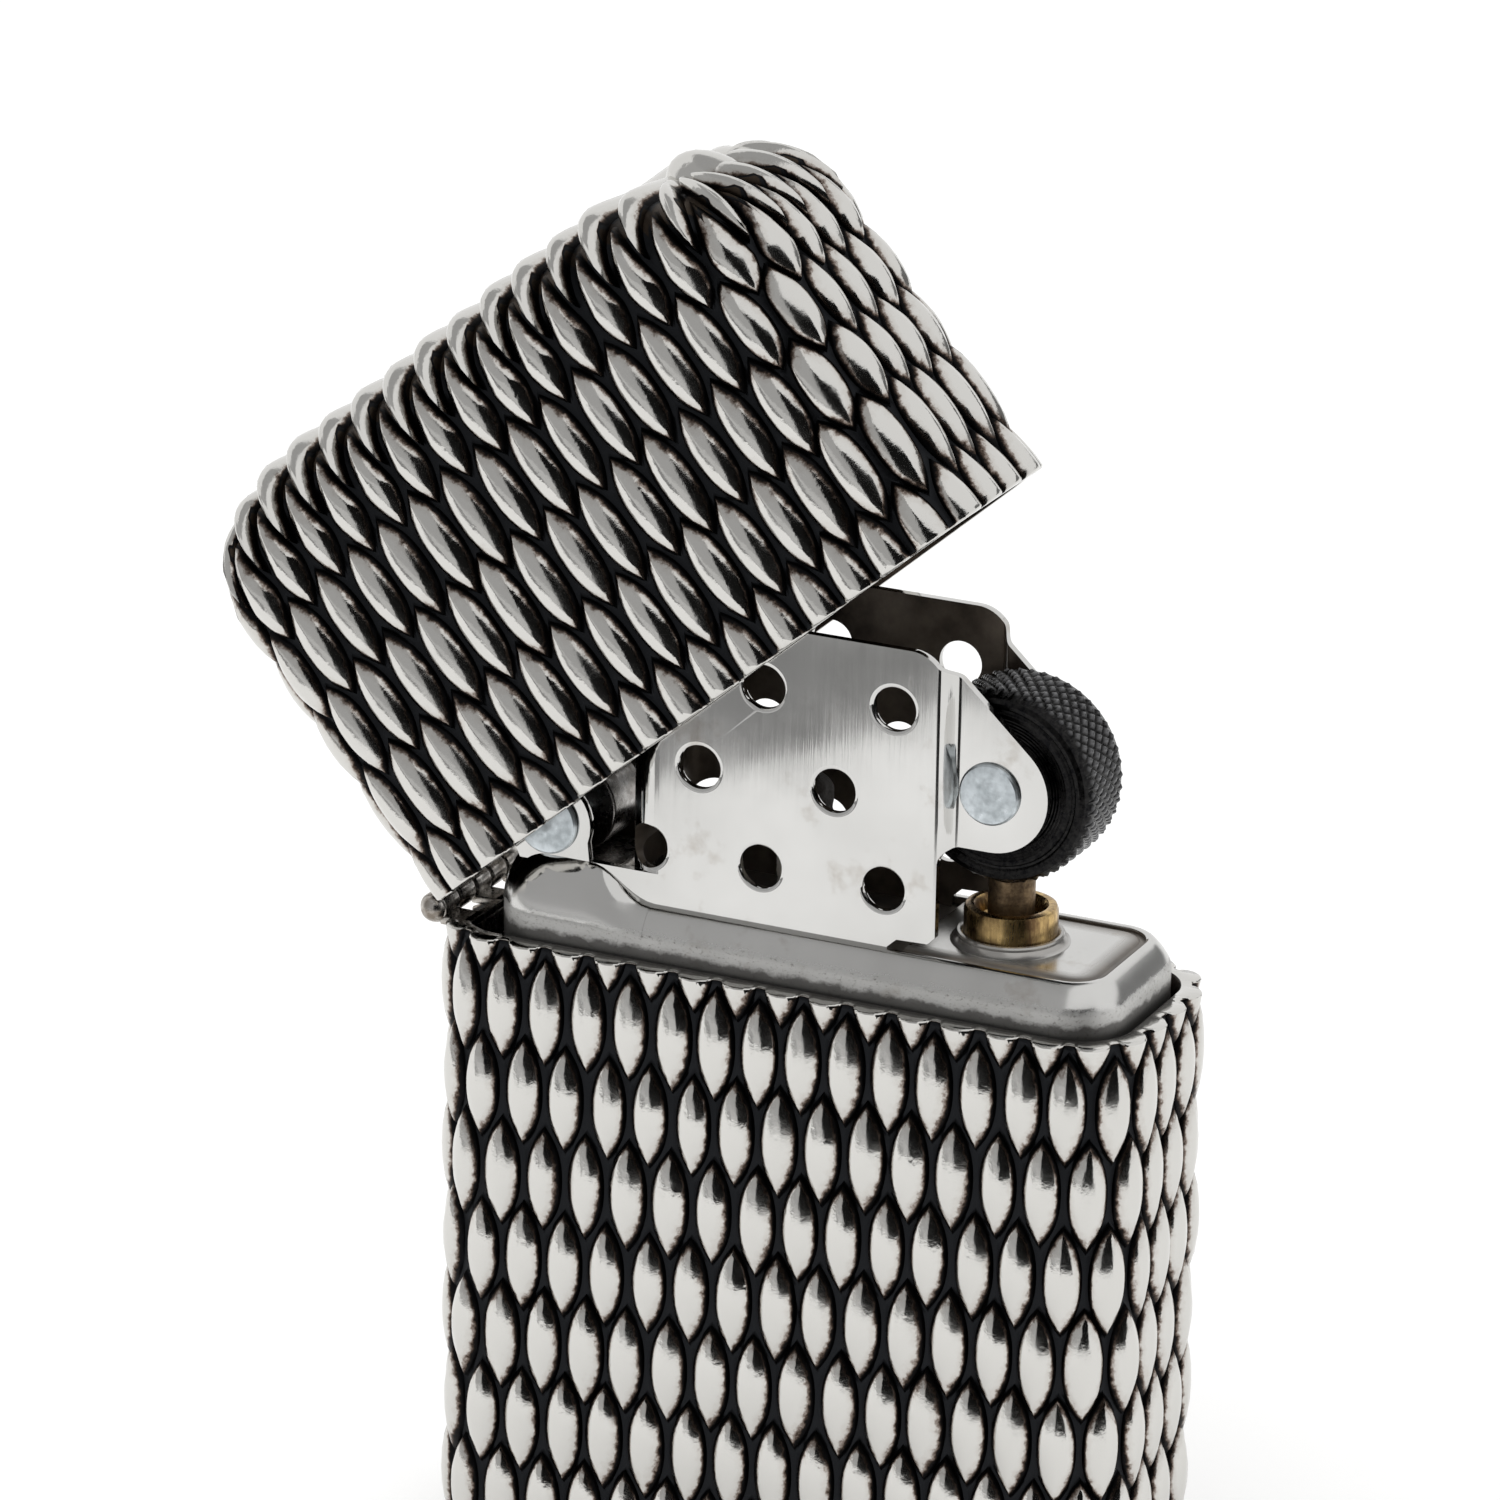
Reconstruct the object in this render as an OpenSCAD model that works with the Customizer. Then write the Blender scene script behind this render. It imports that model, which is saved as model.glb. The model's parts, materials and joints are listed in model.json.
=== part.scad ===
// Flip-top petrol lighter with a beaded case: hinged lid, pull-out insert with a perforated
// chimney, flint wheel, sprung flint in a brass tube, wick and cotton packing.
// X runs along the width from the hinge to the wheel, -Y is the front and +Z is up.
// The origin is the centre of the flat base of the lower case. Units are millimetres.

/* [Case] */
// Width over the crests of the beads
case_w = 39.6; // [38:0.1:42]
// Depth over the crests of the beads
case_d = 14.2; // [13.8:0.1:16]
// Height of the lower case up to its rim
case_h = 35.6; // [34:0.1:40]
// Corner radius in plan over the crests
case_r = 4.2; // [3.8:0.1:4.6]
// Height of the beads above the sheet between them
bead_h = 0.75; // [0.6:0.05:0.9]
// Sheet thickness between the beads
sheet_t = 0.65; // [0.5:0.05:0.75]
// Thickness of the closed base
floor_t = 1.2; // [1:0.1:1.4]
// Rounding of the bottom edge
base_edge_r = 1; // [0.6:0.1:1.2]

/* [Lid] */
// Height of the lid from its rim to its crest
lid_h = 23.4; // [22:0.1:26]
// Rounding of the top shoulder
shoulder_r = 3; // [2:0.1:3.5]
// Gap between the two rims when the lid is closed
rim_gap = 0.15; // [0.1:0.05:0.3]
// Angle that the lid stands open
lid_angle = 41; // [0:1:120]

/* [Hinge] */
// Radius of the hinge barrel
barrel_r = 0.8; // [0.7:0.05:0.9]
// Length of the whole hinge barrel
barrel_len = 8.8; // [7:0.1:9.4]
// Distance from the case crest out to the hinge axis
hinge_out = 0.3; // [0.2:0.05:0.4]
// Radius of the hinge pin
hinge_pin_r = 0.35; // [0.3:0.05:0.4]
// Thickness of the two leaves
leaf_t = 0.45; // [0.4:0.05:0.5]
// Height of each leaf along the wall
leaf_h = 6; // [4:0.5:8]

/* [Insert] */
// Width of the fuel can
can_w = 34.6; // [33:0.1:35]
// Depth of the fuel can
can_d = 11; // [10.6:0.1:11.1]
// Shift of the can away from the hinge
can_shift = 0.75; // [0.6:0.05:0.8]
// Height of the can above the rim of the case
can_rise = 2.5; // [2.2:0.1:2.8]
// Thickness of the insert's sheet steel
steel_t = 0.45; // [0.4:0.05:0.5]

/* [Chimney] */
// Left end of the chimney
chimney_x0 = -9.4; // [-10:0.1:-9]
// Right end of the chimney walls
chimney_x1 = 8.1; // [7.8:0.1:8.3]
// Depth of the chimney
chimney_d = 8.6; // [8.2:0.1:9]
// Top of the chimney above the rim of the case
chimney_rise = 18.4; // [17.5:0.1:19]
// Radius of the chimney's air holes
air_hole_r = 1.2; // [1:0.05:1.3]

/* [Wheel and flint] */
// Wheel axle along X
wheel_x = 10.5; // [10.3:0.1:10.7]
// Wheel axle above the rim of the case
wheel_rise = 11.2; // [11:0.1:11.6]
// Radius of the flint wheel
wheel_r = 5.1; // [4.8:0.1:5.2]
// Width of the flint wheel
wheel_w = 4.8; // [4:0.1:4.9]
// Outer radius of the flint tube
tube_r = 2.4; // [2.2:0.1:2.5]
// Radius of the flint
flint_r = 1.2; // [1.1:0.05:1.25]

/* [Cam] */
// Cam pivot along X
cam_x = -13.5; // [-13.8:0.1:-13.2]
// Cam pivot above the rim of the case
cam_rise = 6; // [5.8:0.1:6.4]
// Radius of the cam
cam_r = 2.5; // [2.2:0.1:2.5]

/* [Hidden] */
$fn = 64;
eps = 0.02;
fit = 0.02;       // radial clearance of a pin or shaft in its bore

rim_z = case_h;
wall_t = bead_h + sheet_t;
inner_w = case_w - 2 * wall_t;
inner_d = case_d - 2 * wall_t;
inner_r = case_r - wall_t;
leaf_x = -inner_w / 2 + fit;
hinge_x = -case_w / 2 - hinge_out;
hinge_z = rim_z + rim_gap / 2;
notch_r = barrel_r + 0.15;
notch_len = barrel_len + 0.9;

can_z0 = floor_t + 0.4;
can_top = rim_z + can_rise;
can_r = 3;
plinth_x0 = can_shift - can_w / 2 + 0.5;
plinth_top = rim_z + 4.2;
chimney_top = rim_z + chimney_rise;
plate_top = can_top - steel_t - 0.05;
plate_edge = steel_t + 0.05;
collar_r = 3;
collar_h = 0.9;

axle_z = rim_z + wheel_rise;
axle_r = 0.8;
ear_y = 3.1;
ear_r = 3.1;
ear_low = 8.1;
bend_x = chimney_x1 + 0.6;
rivet_head_r = 1.7;
rivet_head_t = 0.3;

tube_z0 = floor_t + 1.4;
tube_top = rim_z + 4.9;
bore_r = flint_r + 0.08;
flint_top = axle_z - wheel_r - 0.08;
flint_len = 4.6;
tip_len = 2.4;
screw_head_r = 3;
screw_top = tube_z0 + 5.6;

cam_z = rim_z + cam_rise;
cam_pin_r = 0.9;
cam_ear_r = 2.4;
wick_x = -1;
wick_r = 1.5;
slot_x = -10.3;

// The air holes: each row has its height above the rim, then the place of each hole along X
air_rows = [[5.6, [-7.9, -1.5, 5.3]], [10.35, [-5, 2.5]], [15.2, [-8, -1.5, 5.7]]];

// The can is packed with a column of large balls and a column of small ones
ball_columns = [
  [-11.2, 4.6, 3, 10.4],  // along X, radius, count, height of the lowest centre
  [4.2, 3.4, 4, 9.2]
];

// ---- Shared shapes ----

// Rectangle with round corners, centred, made of true arcs
module round_rect(w, d, r) {
  square([w - 2 * r, d], center = true);
  square([w, d - 2 * r], center = true);
  for (x = [-1, 1], y = [-1, 1])
    translate([x * (w / 2 - r), y * (d / 2 - r)]) circle(r);
}

// Outline of half a block with a round lower outer edge, for turning or extruding
module edge_profile(w, h, e) {
  translate([0, e]) square([w, h - e]);
  square([w - e, e + eps]);
  translate([w - e, e]) intersection() {
    circle(e);
    translate([0, -e]) square(e + eps);
  }
}

// Block with round corners in plan and a round lower edge, standing on z = 0
module tray_block(w, d, r, h, e) {
  for (x = [-1, 1], y = [-1, 1])
    translate([x * (w / 2 - r), y * (d / 2 - r), 0]) rotate_extrude() edge_profile(r, h, e);
  for (s = [0, 1]) {
    translate([-(w / 2 - r), 0, 0]) rotate([90, 0, 90]) linear_extrude(w - 2 * r)
      mirror([s, 0]) edge_profile(d / 2, h, e);
    translate([0, d / 2 - r, 0]) rotate([90, 0, 0]) linear_extrude(d - 2 * r)
      mirror([s, 0]) edge_profile(w / 2, h, e);
  }
}

// Cylinder along Y, centred on y = 0
module y_cylinder(r, len) {
  rotate([90, 0, 0]) cylinder(r = r, h = len, center = true);
}

// A flat outline drawn in X and Z, given a thickness from y0 to y1
module plate_xz(y0, y1) {
  translate([0, y1, 0]) rotate([90, 0, 0]) linear_extrude(y1 - y0) children();
}

// Both copies of a piece that is the same at the front and at the back
module front_and_back() {
  children();
  mirror([0, 1, 0]) children();
}

// Swings the lid's pieces from closed to where the lid stands open
module swung_open() {
  translate([hinge_x, 0, hinge_z]) rotate([0, -lid_angle, 0]) translate([-hinge_x, 0, -hinge_z])
    children();
}

// Room in a wall for the hinge barrel and the straps of the leaves
module hinge_notch() {
  translate([hinge_x, 0, hinge_z]) {
    y_cylinder(notch_r, notch_len);
    translate([0, -notch_len / 2, -notch_r]) cube([2.6, notch_len, 2 * notch_r]);
  }
}

// ---- Case and hinge ----

module lower_case() {
  color("silver") difference() {
    tray_block(case_w, case_d, case_r, case_h, base_edge_r);
    translate([0, 0, floor_t]) linear_extrude(case_h) round_rect(inner_w, inner_d, inner_r);
    hinge_notch();
  }
}

module lid_case() {
  lid_top = rim_z + rim_gap + lid_h;
  cavity_h = lid_h - wall_t;
  color("silver") swung_open() difference() {
    translate([0, 0, lid_top]) mirror([0, 0, 1])
      tray_block(case_w, case_d, case_r, lid_h, shoulder_r);
    translate([0, 0, lid_top - wall_t]) mirror([0, 0, 1])
      tray_block(inner_w, inner_d, inner_r, cavity_h + 1, shoulder_r - wall_t);
    hinge_notch();
  }
}

// Knuckles of one leaf: each entry of spans is [start, end] along Y as a share of the barrel
module knuckles(spans, bore) {
  for (s = spans) {
    y0 = (s[0] - 0.5) * barrel_len + 0.06;
    y1 = (s[1] - 0.5) * barrel_len - 0.06;
    difference() {
      union() {
        plate_xz(y0, y1) translate([hinge_x, hinge_z]) circle(barrel_r);
        translate([hinge_x, y0, hinge_z - barrel_r])
          cube([leaf_x - hinge_x + leaf_t, y1 - y0, leaf_t]);
      }
      translate([hinge_x, 0, hinge_z]) y_cylinder(bore, barrel_len + 1);
    }
  }
}

// Knuckles with a bar behind them in the notch, and a plate below it on the flat of the wall
module hinge_leaf(spans) {
  bar_len = barrel_len - 0.12;
  plate_len = inner_d - 2 * inner_r;
  knuckles(spans, hinge_pin_r + fit);
  translate([leaf_x, -bar_len / 2, hinge_z - barrel_r]) cube([leaf_t, bar_len, leaf_t]);
  translate([leaf_x, -plate_len / 2, hinge_z - barrel_r - leaf_h])
    cube([leaf_t, plate_len, leaf_h + leaf_t]);
}

module lower_hinge_leaf() {
  color("gainsboro") hinge_leaf([[0, 0.2], [0.4, 0.6], [0.8, 1]]);
}

module lid_hinge_leaf() {
  color("gainsboro") swung_open() translate([0, 0, 2 * hinge_z]) mirror([0, 0, 1])
    hinge_leaf([[0.2, 0.4], [0.6, 0.8]]);
}

module hinge_pin() {
  head_y = barrel_len / 2 - 0.02;
  color("lightgray") translate([hinge_x, 0, hinge_z]) {
    y_cylinder(hinge_pin_r, barrel_len);
    front_and_back() translate([0, -head_y, 0]) rotate([90, 0, 0]) rotate_extrude()
      intersection() {
        square(2);
        translate([0, -barrel_r * 0.45]) circle(barrel_r);
      }
  }
}

// ---- Insert ----

module can_outline(inset) {
  translate([can_shift, 0]) round_rect(can_w - 2 * inset, can_d - 2 * inset, can_r - inset);
}

// Plan of a wall that is round at its hinge end and ends square at the wheel
module open_ended(x0, x1, d, r) {
  w = x1 - x0 + 2 * r;
  intersection() {
    translate([x0 + w / 2, 0]) round_rect(w, d, r);
    translate([x0 - 1, -d]) square([x1 - x0 + 1, 2 * d]);
  }
}

// Outer form of can, plinth, cam ears and chimney before they are hollowed
module shell_outside() {
  translate([0, 0, can_z0]) linear_extrude(can_top - can_z0) can_outline(0);
  translate([0, 0, can_top - 1]) linear_extrude(plinth_top - can_top + 1)
    open_ended(plinth_x0, chimney_x1, chimney_d, 2.6);
  translate([0, 0, plinth_top - eps]) linear_extrude(chimney_top - plinth_top + eps)
    open_ended(chimney_x0, chimney_x1, chimney_d, 2.2);
  plate_xz(-chimney_d / 2, chimney_d / 2) {
    translate([cam_x, cam_z]) circle(cam_ear_r);
    translate([cam_x - cam_ear_r, plinth_top - 1]) square([2 * cam_ear_r, cam_z - plinth_top + 1]);
  }
}

// Space inside can, plinth and chimney, the open top at the wheel end and all the holes
module shell_inside() {
  chimney_in = chimney_d - 2 * steel_t;
  translate([0, 0, can_z0 - 1]) linear_extrude(can_top - can_z0 + 1 - steel_t) can_outline(steel_t);
  translate([0, 0, can_top - 1]) linear_extrude(plinth_top - can_top + 1 + eps)
    open_ended(plinth_x0 + steel_t, chimney_x1 + 1, chimney_in, 2.6 - steel_t);
  translate([0, 0, plinth_top]) linear_extrude(chimney_top)
    open_ended(chimney_x0 + steel_t, chimney_x1 + 1, chimney_in, 2.2 - steel_t);
  translate([plinth_x0 - 1, -chimney_in / 2, plinth_top])
    cube([chimney_x0 - plinth_x0 + 1, chimney_in, 10]);
  intersection() {
    translate([0, 0, can_top - 1]) linear_extrude(2) can_outline(steel_t);
    translate([chimney_x1, -can_d, can_top - 2]) cube([can_w, 2 * can_d, 4]);
  }
  for (row = air_rows, x = row[1])
    translate([x, 0, rim_z + row[0]]) y_cylinder(air_hole_r, can_d);
  translate([cam_x, 0, cam_z]) y_cylinder(cam_pin_r + fit, can_d);
}

// Point where the tangent from p touches the circle of radius r round c on its outer side
function tangent_point(p, c, r) =
  let (v = c - p, far = norm(v), a = atan2(v[1], v[0]) + asin(r / far))
  p + sqrt(far * far - r * r) * [cos(a), sin(a)];

// Wheel ear: a plate that stands inside the chimney wall, joined to it by a bend
module wheel_ear() {
  axle = [wheel_x, axle_z];
  shoulder = [bend_x + 0.2, chimney_top - 0.3];
  low_z = rim_z + ear_low;
  difference() {
    plate_xz(-ear_y, -ear_y + steel_t) {
      polygon([
        [bend_x, low_z], [bend_x, chimney_top], shoulder,
        tangent_point(shoulder, axle, ear_r), axle, [wheel_x, low_z]
      ]);
      translate(axle) circle(ear_r);
    }
    translate([wheel_x, 0, axle_z]) y_cylinder(axle_r + fit, can_d);
  }
  front = -chimney_d / 2;
  translate([0, 0, low_z]) linear_extrude(chimney_top - low_z) polygon([
    [chimney_x1 - eps, front], [chimney_x1, front], [bend_x + eps, -ear_y],
    [bend_x + eps, -ear_y + steel_t], [chimney_x1 - eps, front + steel_t]
  ]);
}

module insert_shell() {
  color("lightsteelblue") {
    difference() {
      shell_outside();
      shell_inside();
    }
    front_and_back() wheel_ear();
  }
}

// Plate that closes the can: raised at the wheel end, with a collar round the flint tube
module top_plate() {
  pad_x0 = chimney_x1 + 0.3;
  color("gray") difference() {
    union() {
      translate([0, 0, plate_top - steel_t]) linear_extrude(steel_t) can_outline(plate_edge);
      intersection() {
        translate([0, 0, plate_top - eps]) linear_extrude(can_top - 0.1 - plate_top)
          can_outline(plate_edge + 0.25);
        translate([pad_x0, -can_d, plate_top - 1]) cube([can_w, 2 * can_d, 3]);
      }
      translate([wheel_x, 0, plate_top - eps])
        cylinder(r = collar_r, h = can_top - plate_top + collar_h - 0.1);
    }
    translate([wheel_x, 0, 0]) cylinder(r = tube_r + fit, h = can_top + 5);
    translate([wick_x, 0, 0]) cylinder(r = wick_r + 0.1, h = can_top + 5);
    translate([slot_x - 0.3, -2.3, plate_top - 1]) cube([1, 4.6, 2]);
  }
}

module flint_tube() {
  color("darkgoldenrod") translate([wheel_x, 0, tube_z0]) difference() {
    cylinder(r = tube_r, h = tube_top - tube_z0);
    translate([0, 0, -1]) cylinder(r = bore_r, h = tube_top - tube_z0 + 2);
  }
}

module flint() {
  color("dimgray") translate([wheel_x, 0, flint_top - flint_len]) cylinder(r = flint_r, h = flint_len);
}

// Brass slug between the spring and the flint, with a stem inside the spring
module spring_tip() {
  tip_top = flint_top - flint_len;
  color("goldenrod") translate([wheel_x, 0, tip_top - tip_len]) {
    cylinder(r = flint_r, h = tip_len);
    translate([0, 0, -2]) cylinder(r = 0.55, h = 2 + eps);
  }
}

// The coil spring, drawn as the sleeve that its turns fill
module flint_spring() {
  spring_top = flint_top - flint_len - tip_len - 0.05;
  color("silver") translate([wheel_x, 0, screw_top + 0.05]) difference() {
    cylinder(r = flint_r - 0.05, h = spring_top - screw_top - 0.05);
    translate([0, 0, -1]) cylinder(r = 0.7, h = spring_top);
  }
}

module flint_screw() {
  head_z = floor_t + 0.2;
  head_t = tube_z0 - 0.1 - head_z;
  color("goldenrod") translate([wheel_x, 0, head_z]) difference() {
    union() {
      cylinder(r = screw_head_r, h = head_t);
      cylinder(r = bore_r - fit, h = screw_top - head_z);
    }
    translate([-screw_head_r - 1, -0.4, -1]) cube([2 * screw_head_r + 2, 0.8, 1.5]);
  }
}

// ---- Wheel and cam ----

module flint_wheel() {
  face = wheel_w / 2;
  bevel = 0.6;
  color("#222222") translate([wheel_x, 0, axle_z]) rotate([90, 0, 0]) rotate_extrude() polygon([
    [axle_r + fit, -face], [wheel_r - bevel, -face], [wheel_r, bevel - face],
    [wheel_r, face - bevel], [wheel_r - bevel, face], [axle_r + fit, face]
  ]);
}

// Rivet along Y with a flat head on each side
module rivet(r, len, head_r) {
  rotate([90, 0, 0]) {
    cylinder(r = r, h = len, center = true);
    for (s = [-1, 1])
      translate([0, 0, s * (len / 2 + rivet_head_t / 2 - eps)])
        cylinder(r = head_r, h = rivet_head_t, center = true);
  }
}

module wheel_rivet() {
  color("lightslategray") translate([wheel_x, 0, axle_z]) rivet(axle_r, 2 * ear_y + 0.1, rivet_head_r);
}

module cam() {
  horn = [-17.1, rim_z + 8.2];
  color("gray") difference() {
    plate_xz(-1.6, 1.6) {
      translate([cam_x, cam_z]) circle(cam_r);
      polygon([
        [cam_x, cam_z + cam_r - eps], horn, horn - [0, 1],
        [cam_x - cam_r + 0.3, cam_z - 0.7], [cam_x, cam_z]
      ]);
    }
    translate([cam_x, 0, cam_z]) y_cylinder(cam_pin_r + fit, 8);
  }
}

module cam_rivet() {
  color("lightslategray") translate([cam_x, 0, cam_z]) rivet(cam_pin_r, chimney_d + 0.1, rivet_head_r);
}

// Leaf spring: an arm under the cam and a leg that goes down through the top plate
module cam_spring() {
  arm_z = cam_z - cam_r - 0.1;
  leaf = 0.35;
  leg_below = 1.5;
  color("silver") translate([0, -2, 0]) {
    translate([cam_x - 2, 0, arm_z - leaf]) cube([slot_x - cam_x + 2, 4, leaf]);
    translate([slot_x, 0, rim_z - leg_below]) cube([leaf, 4, arm_z - rim_z + leg_below]);
  }
}

// ---- Fuel parts ----

module wick() {
  color("ivory") translate([wick_x, 0, 9]) cylinder(r = wick_r, h = rim_z + 9.5 - 9);
}

module packing_balls() {
  color("white") for (c = ball_columns, i = [0 : c[2] - 1])
    translate([c[0], 0, c[3] + i * (2 * c[1] + 0.1)]) sphere(r = c[1]);
}

// Felt pad that closes the bottom of the can round the flint tube
module felt_pad() {
  color("linen") translate([0, 0, tube_z0]) difference() {
    linear_extrude(2) can_outline(steel_t + 0.05);
    translate([wheel_x, 0, -1]) cylinder(r = tube_r + 0.1, h = 4);
  }
}

lower_case();
lid_case();
lower_hinge_leaf();
lid_hinge_leaf();
hinge_pin();
insert_shell();
top_plate();
flint_tube();
flint();
spring_tip();
flint_spring();
flint_screw();
flint_wheel();
wheel_rivet();
cam();
cam_rivet();
cam_spring();
wick();
packing_balls();
felt_pad();
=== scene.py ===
"""Looks of the flip-top petrol lighter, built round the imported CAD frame.

Lengths are in millimetres until a piece is made, which scales its vertices to metres.
The case and the lid are covered with pointed beads in a half-drop lattice, cast in relief.
"""

import json
import math

import bmesh
import bpy
import numpy as np
from mathutils import Matrix, Vector, noise


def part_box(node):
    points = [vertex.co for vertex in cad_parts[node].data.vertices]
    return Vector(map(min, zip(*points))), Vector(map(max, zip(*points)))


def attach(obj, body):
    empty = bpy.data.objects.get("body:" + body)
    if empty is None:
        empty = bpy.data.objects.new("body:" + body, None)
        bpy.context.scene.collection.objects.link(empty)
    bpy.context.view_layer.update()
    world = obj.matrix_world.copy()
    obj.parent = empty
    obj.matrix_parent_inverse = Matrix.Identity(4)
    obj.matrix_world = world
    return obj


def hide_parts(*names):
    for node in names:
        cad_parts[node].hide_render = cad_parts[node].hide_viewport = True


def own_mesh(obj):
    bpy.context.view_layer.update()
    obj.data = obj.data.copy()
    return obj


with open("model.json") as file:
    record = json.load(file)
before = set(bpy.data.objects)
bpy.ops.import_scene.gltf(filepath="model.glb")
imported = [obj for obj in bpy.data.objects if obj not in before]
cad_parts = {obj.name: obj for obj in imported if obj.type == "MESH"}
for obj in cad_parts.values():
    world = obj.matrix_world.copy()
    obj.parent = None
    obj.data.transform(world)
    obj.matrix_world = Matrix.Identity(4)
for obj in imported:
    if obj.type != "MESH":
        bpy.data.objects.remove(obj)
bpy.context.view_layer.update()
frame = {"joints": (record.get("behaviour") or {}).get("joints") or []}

MM = 0.001
SEED = 11


# ---- Sizes read from the frame ----

def box(node):
    """Lowest and highest corner of a CAD node in millimetres."""
    low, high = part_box(node)
    return np.array(low) / MM, np.array(high) / MM


def joint(name):
    """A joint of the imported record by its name."""
    return next(j for j in frame["joints"] if j["name"] == name)


def joint_place(name):
    """The point that a joint turns about, in millimetres."""
    return np.array(joint(name)["pos_m"]) / MM


case_high = box("lower_case")[1]
can_low, can_high = box("insert_shell")
tube_low, tube_high = box("flint_tube")
HINGE = joint_place("lid_hinge")
AXLE = joint_place("flint_wheel_spin")
CAM = joint_place("cam_pivot")
LID_OPEN = math.radians(-joint("lid_hinge")["range_deg"][0])
RIM_Z = case_high[2]
LID_RIM_Z = 2 * HINGE[2] - RIM_Z

HALF_W = case_high[0]
HALF_D = case_high[1]
CREST_R = 4.2
BEAD_H = 0.75
WALL_T = 1.4
LID_H = 23.4
SHOULDER_R = 3.0
CORE_X = HALF_W - CREST_R
CORE_Y = HALF_D - CREST_R
VALLEY_R = CREST_R - BEAD_H
INNER_R = CREST_R - WALL_T

# ---- Camera ----

VIEW_AZIMUTH = math.radians(25.23)
VIEW_ELEVATION = math.radians(19.64)
VIEW_ROLL = math.radians(0.94)
VIEW_DISTANCE = 373.3
VIEW_LENS = 176.8
VIEW_AIM = np.array([-3.64, -1.16, RIM_Z + 10.53])


def make_camera():
    """The camera at the photograph's angle, aimed at the chimney."""
    data = bpy.data.cameras.new("camera")
    data.lens = VIEW_LENS
    data.sensor_width = 36
    data.clip_start = 0.01
    data.clip_end = 20
    camera = add_object("camera", data)
    az, el = VIEW_AZIMUTH, VIEW_ELEVATION
    back = Vector((math.sin(az) * math.cos(el), -math.cos(az) * math.cos(el), math.sin(el)))
    right = Vector((math.cos(az), math.sin(az), 0))
    up = back.cross(right)
    rolled_right = right * math.cos(VIEW_ROLL) + up * math.sin(VIEW_ROLL)
    rolled_up = up * math.cos(VIEW_ROLL) - right * math.sin(VIEW_ROLL)
    turn = Matrix((rolled_right, rolled_up, back)).transposed().to_4x4()
    place = Vector(VIEW_AIM) + back * VIEW_DISTANCE
    camera.matrix_world = Matrix.Translation(place * MM) @ turn
    bpy.context.scene.camera = camera


# ---- Making pieces ----

def add_object(name, data):
    """An object made from its data and put in the scene."""
    o = bpy.data.objects.new(name, data)
    bpy.context.scene.collection.objects.link(o)
    return o


def new_object(name, verts, faces):
    """A mesh object from vertices in millimetres and faces as lists of indices."""
    mesh = bpy.data.meshes.new(name)
    mesh.from_pydata((np.asarray(verts, float) * MM).tolist(), [], faces)
    mesh.update()
    return add_object(name, mesh)


def bmesh_of(points, faces):
    """A bmesh from vertices and faces as lists of indices."""
    bm = bmesh.new()
    made = [bm.verts.new(p) for p in points]
    for f in faces:
        bm.faces.new([made[i] for i in f])
    return bm


def mesh_from(name, bm):
    """A mesh with what a bmesh holds."""
    mesh = bpy.data.meshes.new(name)
    bm.to_mesh(mesh)
    bm.free()
    return mesh


def object_from(name, bm):
    """A mesh object from a bmesh whose vertices are in millimetres."""
    bmesh.ops.recalc_face_normals(bm, faces=bm.faces)
    bmesh.ops.scale(bm, vec=(MM, MM, MM), verts=bm.verts)
    return add_object(name, mesh_from(name, bm))


def apply_modifiers(o):
    """Puts the result of an object's modifiers into its mesh."""
    bpy.context.view_layer.update()
    graph = bpy.context.evaluated_depsgraph_get()
    mesh = bpy.data.meshes.new_from_object(o.evaluated_get(graph))
    o.modifiers.clear()
    o.data = mesh
    return o


def carve(o, cutter, operation="DIFFERENCE"):
    """Cuts an object with another, which is then removed."""
    m = o.modifiers.new("carve", "BOOLEAN")
    m.object = cutter
    m.operation = operation
    m.solver = "EXACT"
    apply_modifiers(o)
    bpy.data.objects.remove(cutter)
    return o


def soften(o, width, segments=2, angle=30):
    """Rounds every edge sharper than the angle, and keeps the flats between them flat."""
    m = o.modifiers.new("bevel", "BEVEL")
    m.width = width * MM
    m.segments = segments
    m.limit_method = "ANGLE"
    m.angle_limit = math.radians(angle)
    m.use_clamp_overlap = True
    apply_modifiers(o)
    smooth(o, 65)
    m = o.modifiers.new("flats", "WEIGHTED_NORMAL")
    m.keep_sharp = True
    m.weight = 100
    return apply_modifiers(o)


def smooth(o, angle=40):
    """Smooth shading with hard edges where faces meet at more than the angle."""
    o.data.shade_smooth()
    o.data.set_sharp_from_angle(angle=math.radians(angle))
    return o


def join(name, parts):
    """One object from several."""
    bm = bmesh.new()
    for p in parts:
        bm.from_mesh(p.data)
    mesh = mesh_from(name, bm)
    for p in parts:
        bpy.data.objects.remove(p)
    return add_object(name, mesh)


def shift(o, offset):
    """Moves an object's mesh by an offset in millimetres."""
    o.data.transform(Matrix.Translation(Vector(offset) * MM))
    return o


def finish_piece(o, name, body, node, material):
    """Names a piece, gives it its finish and fixes it to its body in place of a CAD node."""
    o.name = name
    o.data.name = name
    o.data.materials.clear()
    o.data.materials.append(material)
    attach(o, body)
    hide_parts(node)
    return o


def swing_open(o):
    """Turns a lid piece from closed to where the lid stands open."""
    pivot = Vector(HINGE) * MM
    turn = Matrix.Rotation(-LID_OPEN, 4, "Y")
    o.data.transform(Matrix.Translation(pivot) @ turn @ Matrix.Translation(-pivot))
    return o


def grid_faces(rows, columns, closed=True, wrap=False):
    """Quads between rows of vertices, each row a loop or an open line of the same length. With
    wrap the last row is joined to the first."""
    faces = []
    for i in range(rows if wrap else rows - 1):
        here, ahead = i * columns, (i + 1) % rows * columns
        for j in range(columns if closed else columns - 1):
            k = (j + 1) % columns
            faces.append([here + j, here + k, ahead + k, ahead + j])
    return faces


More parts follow.
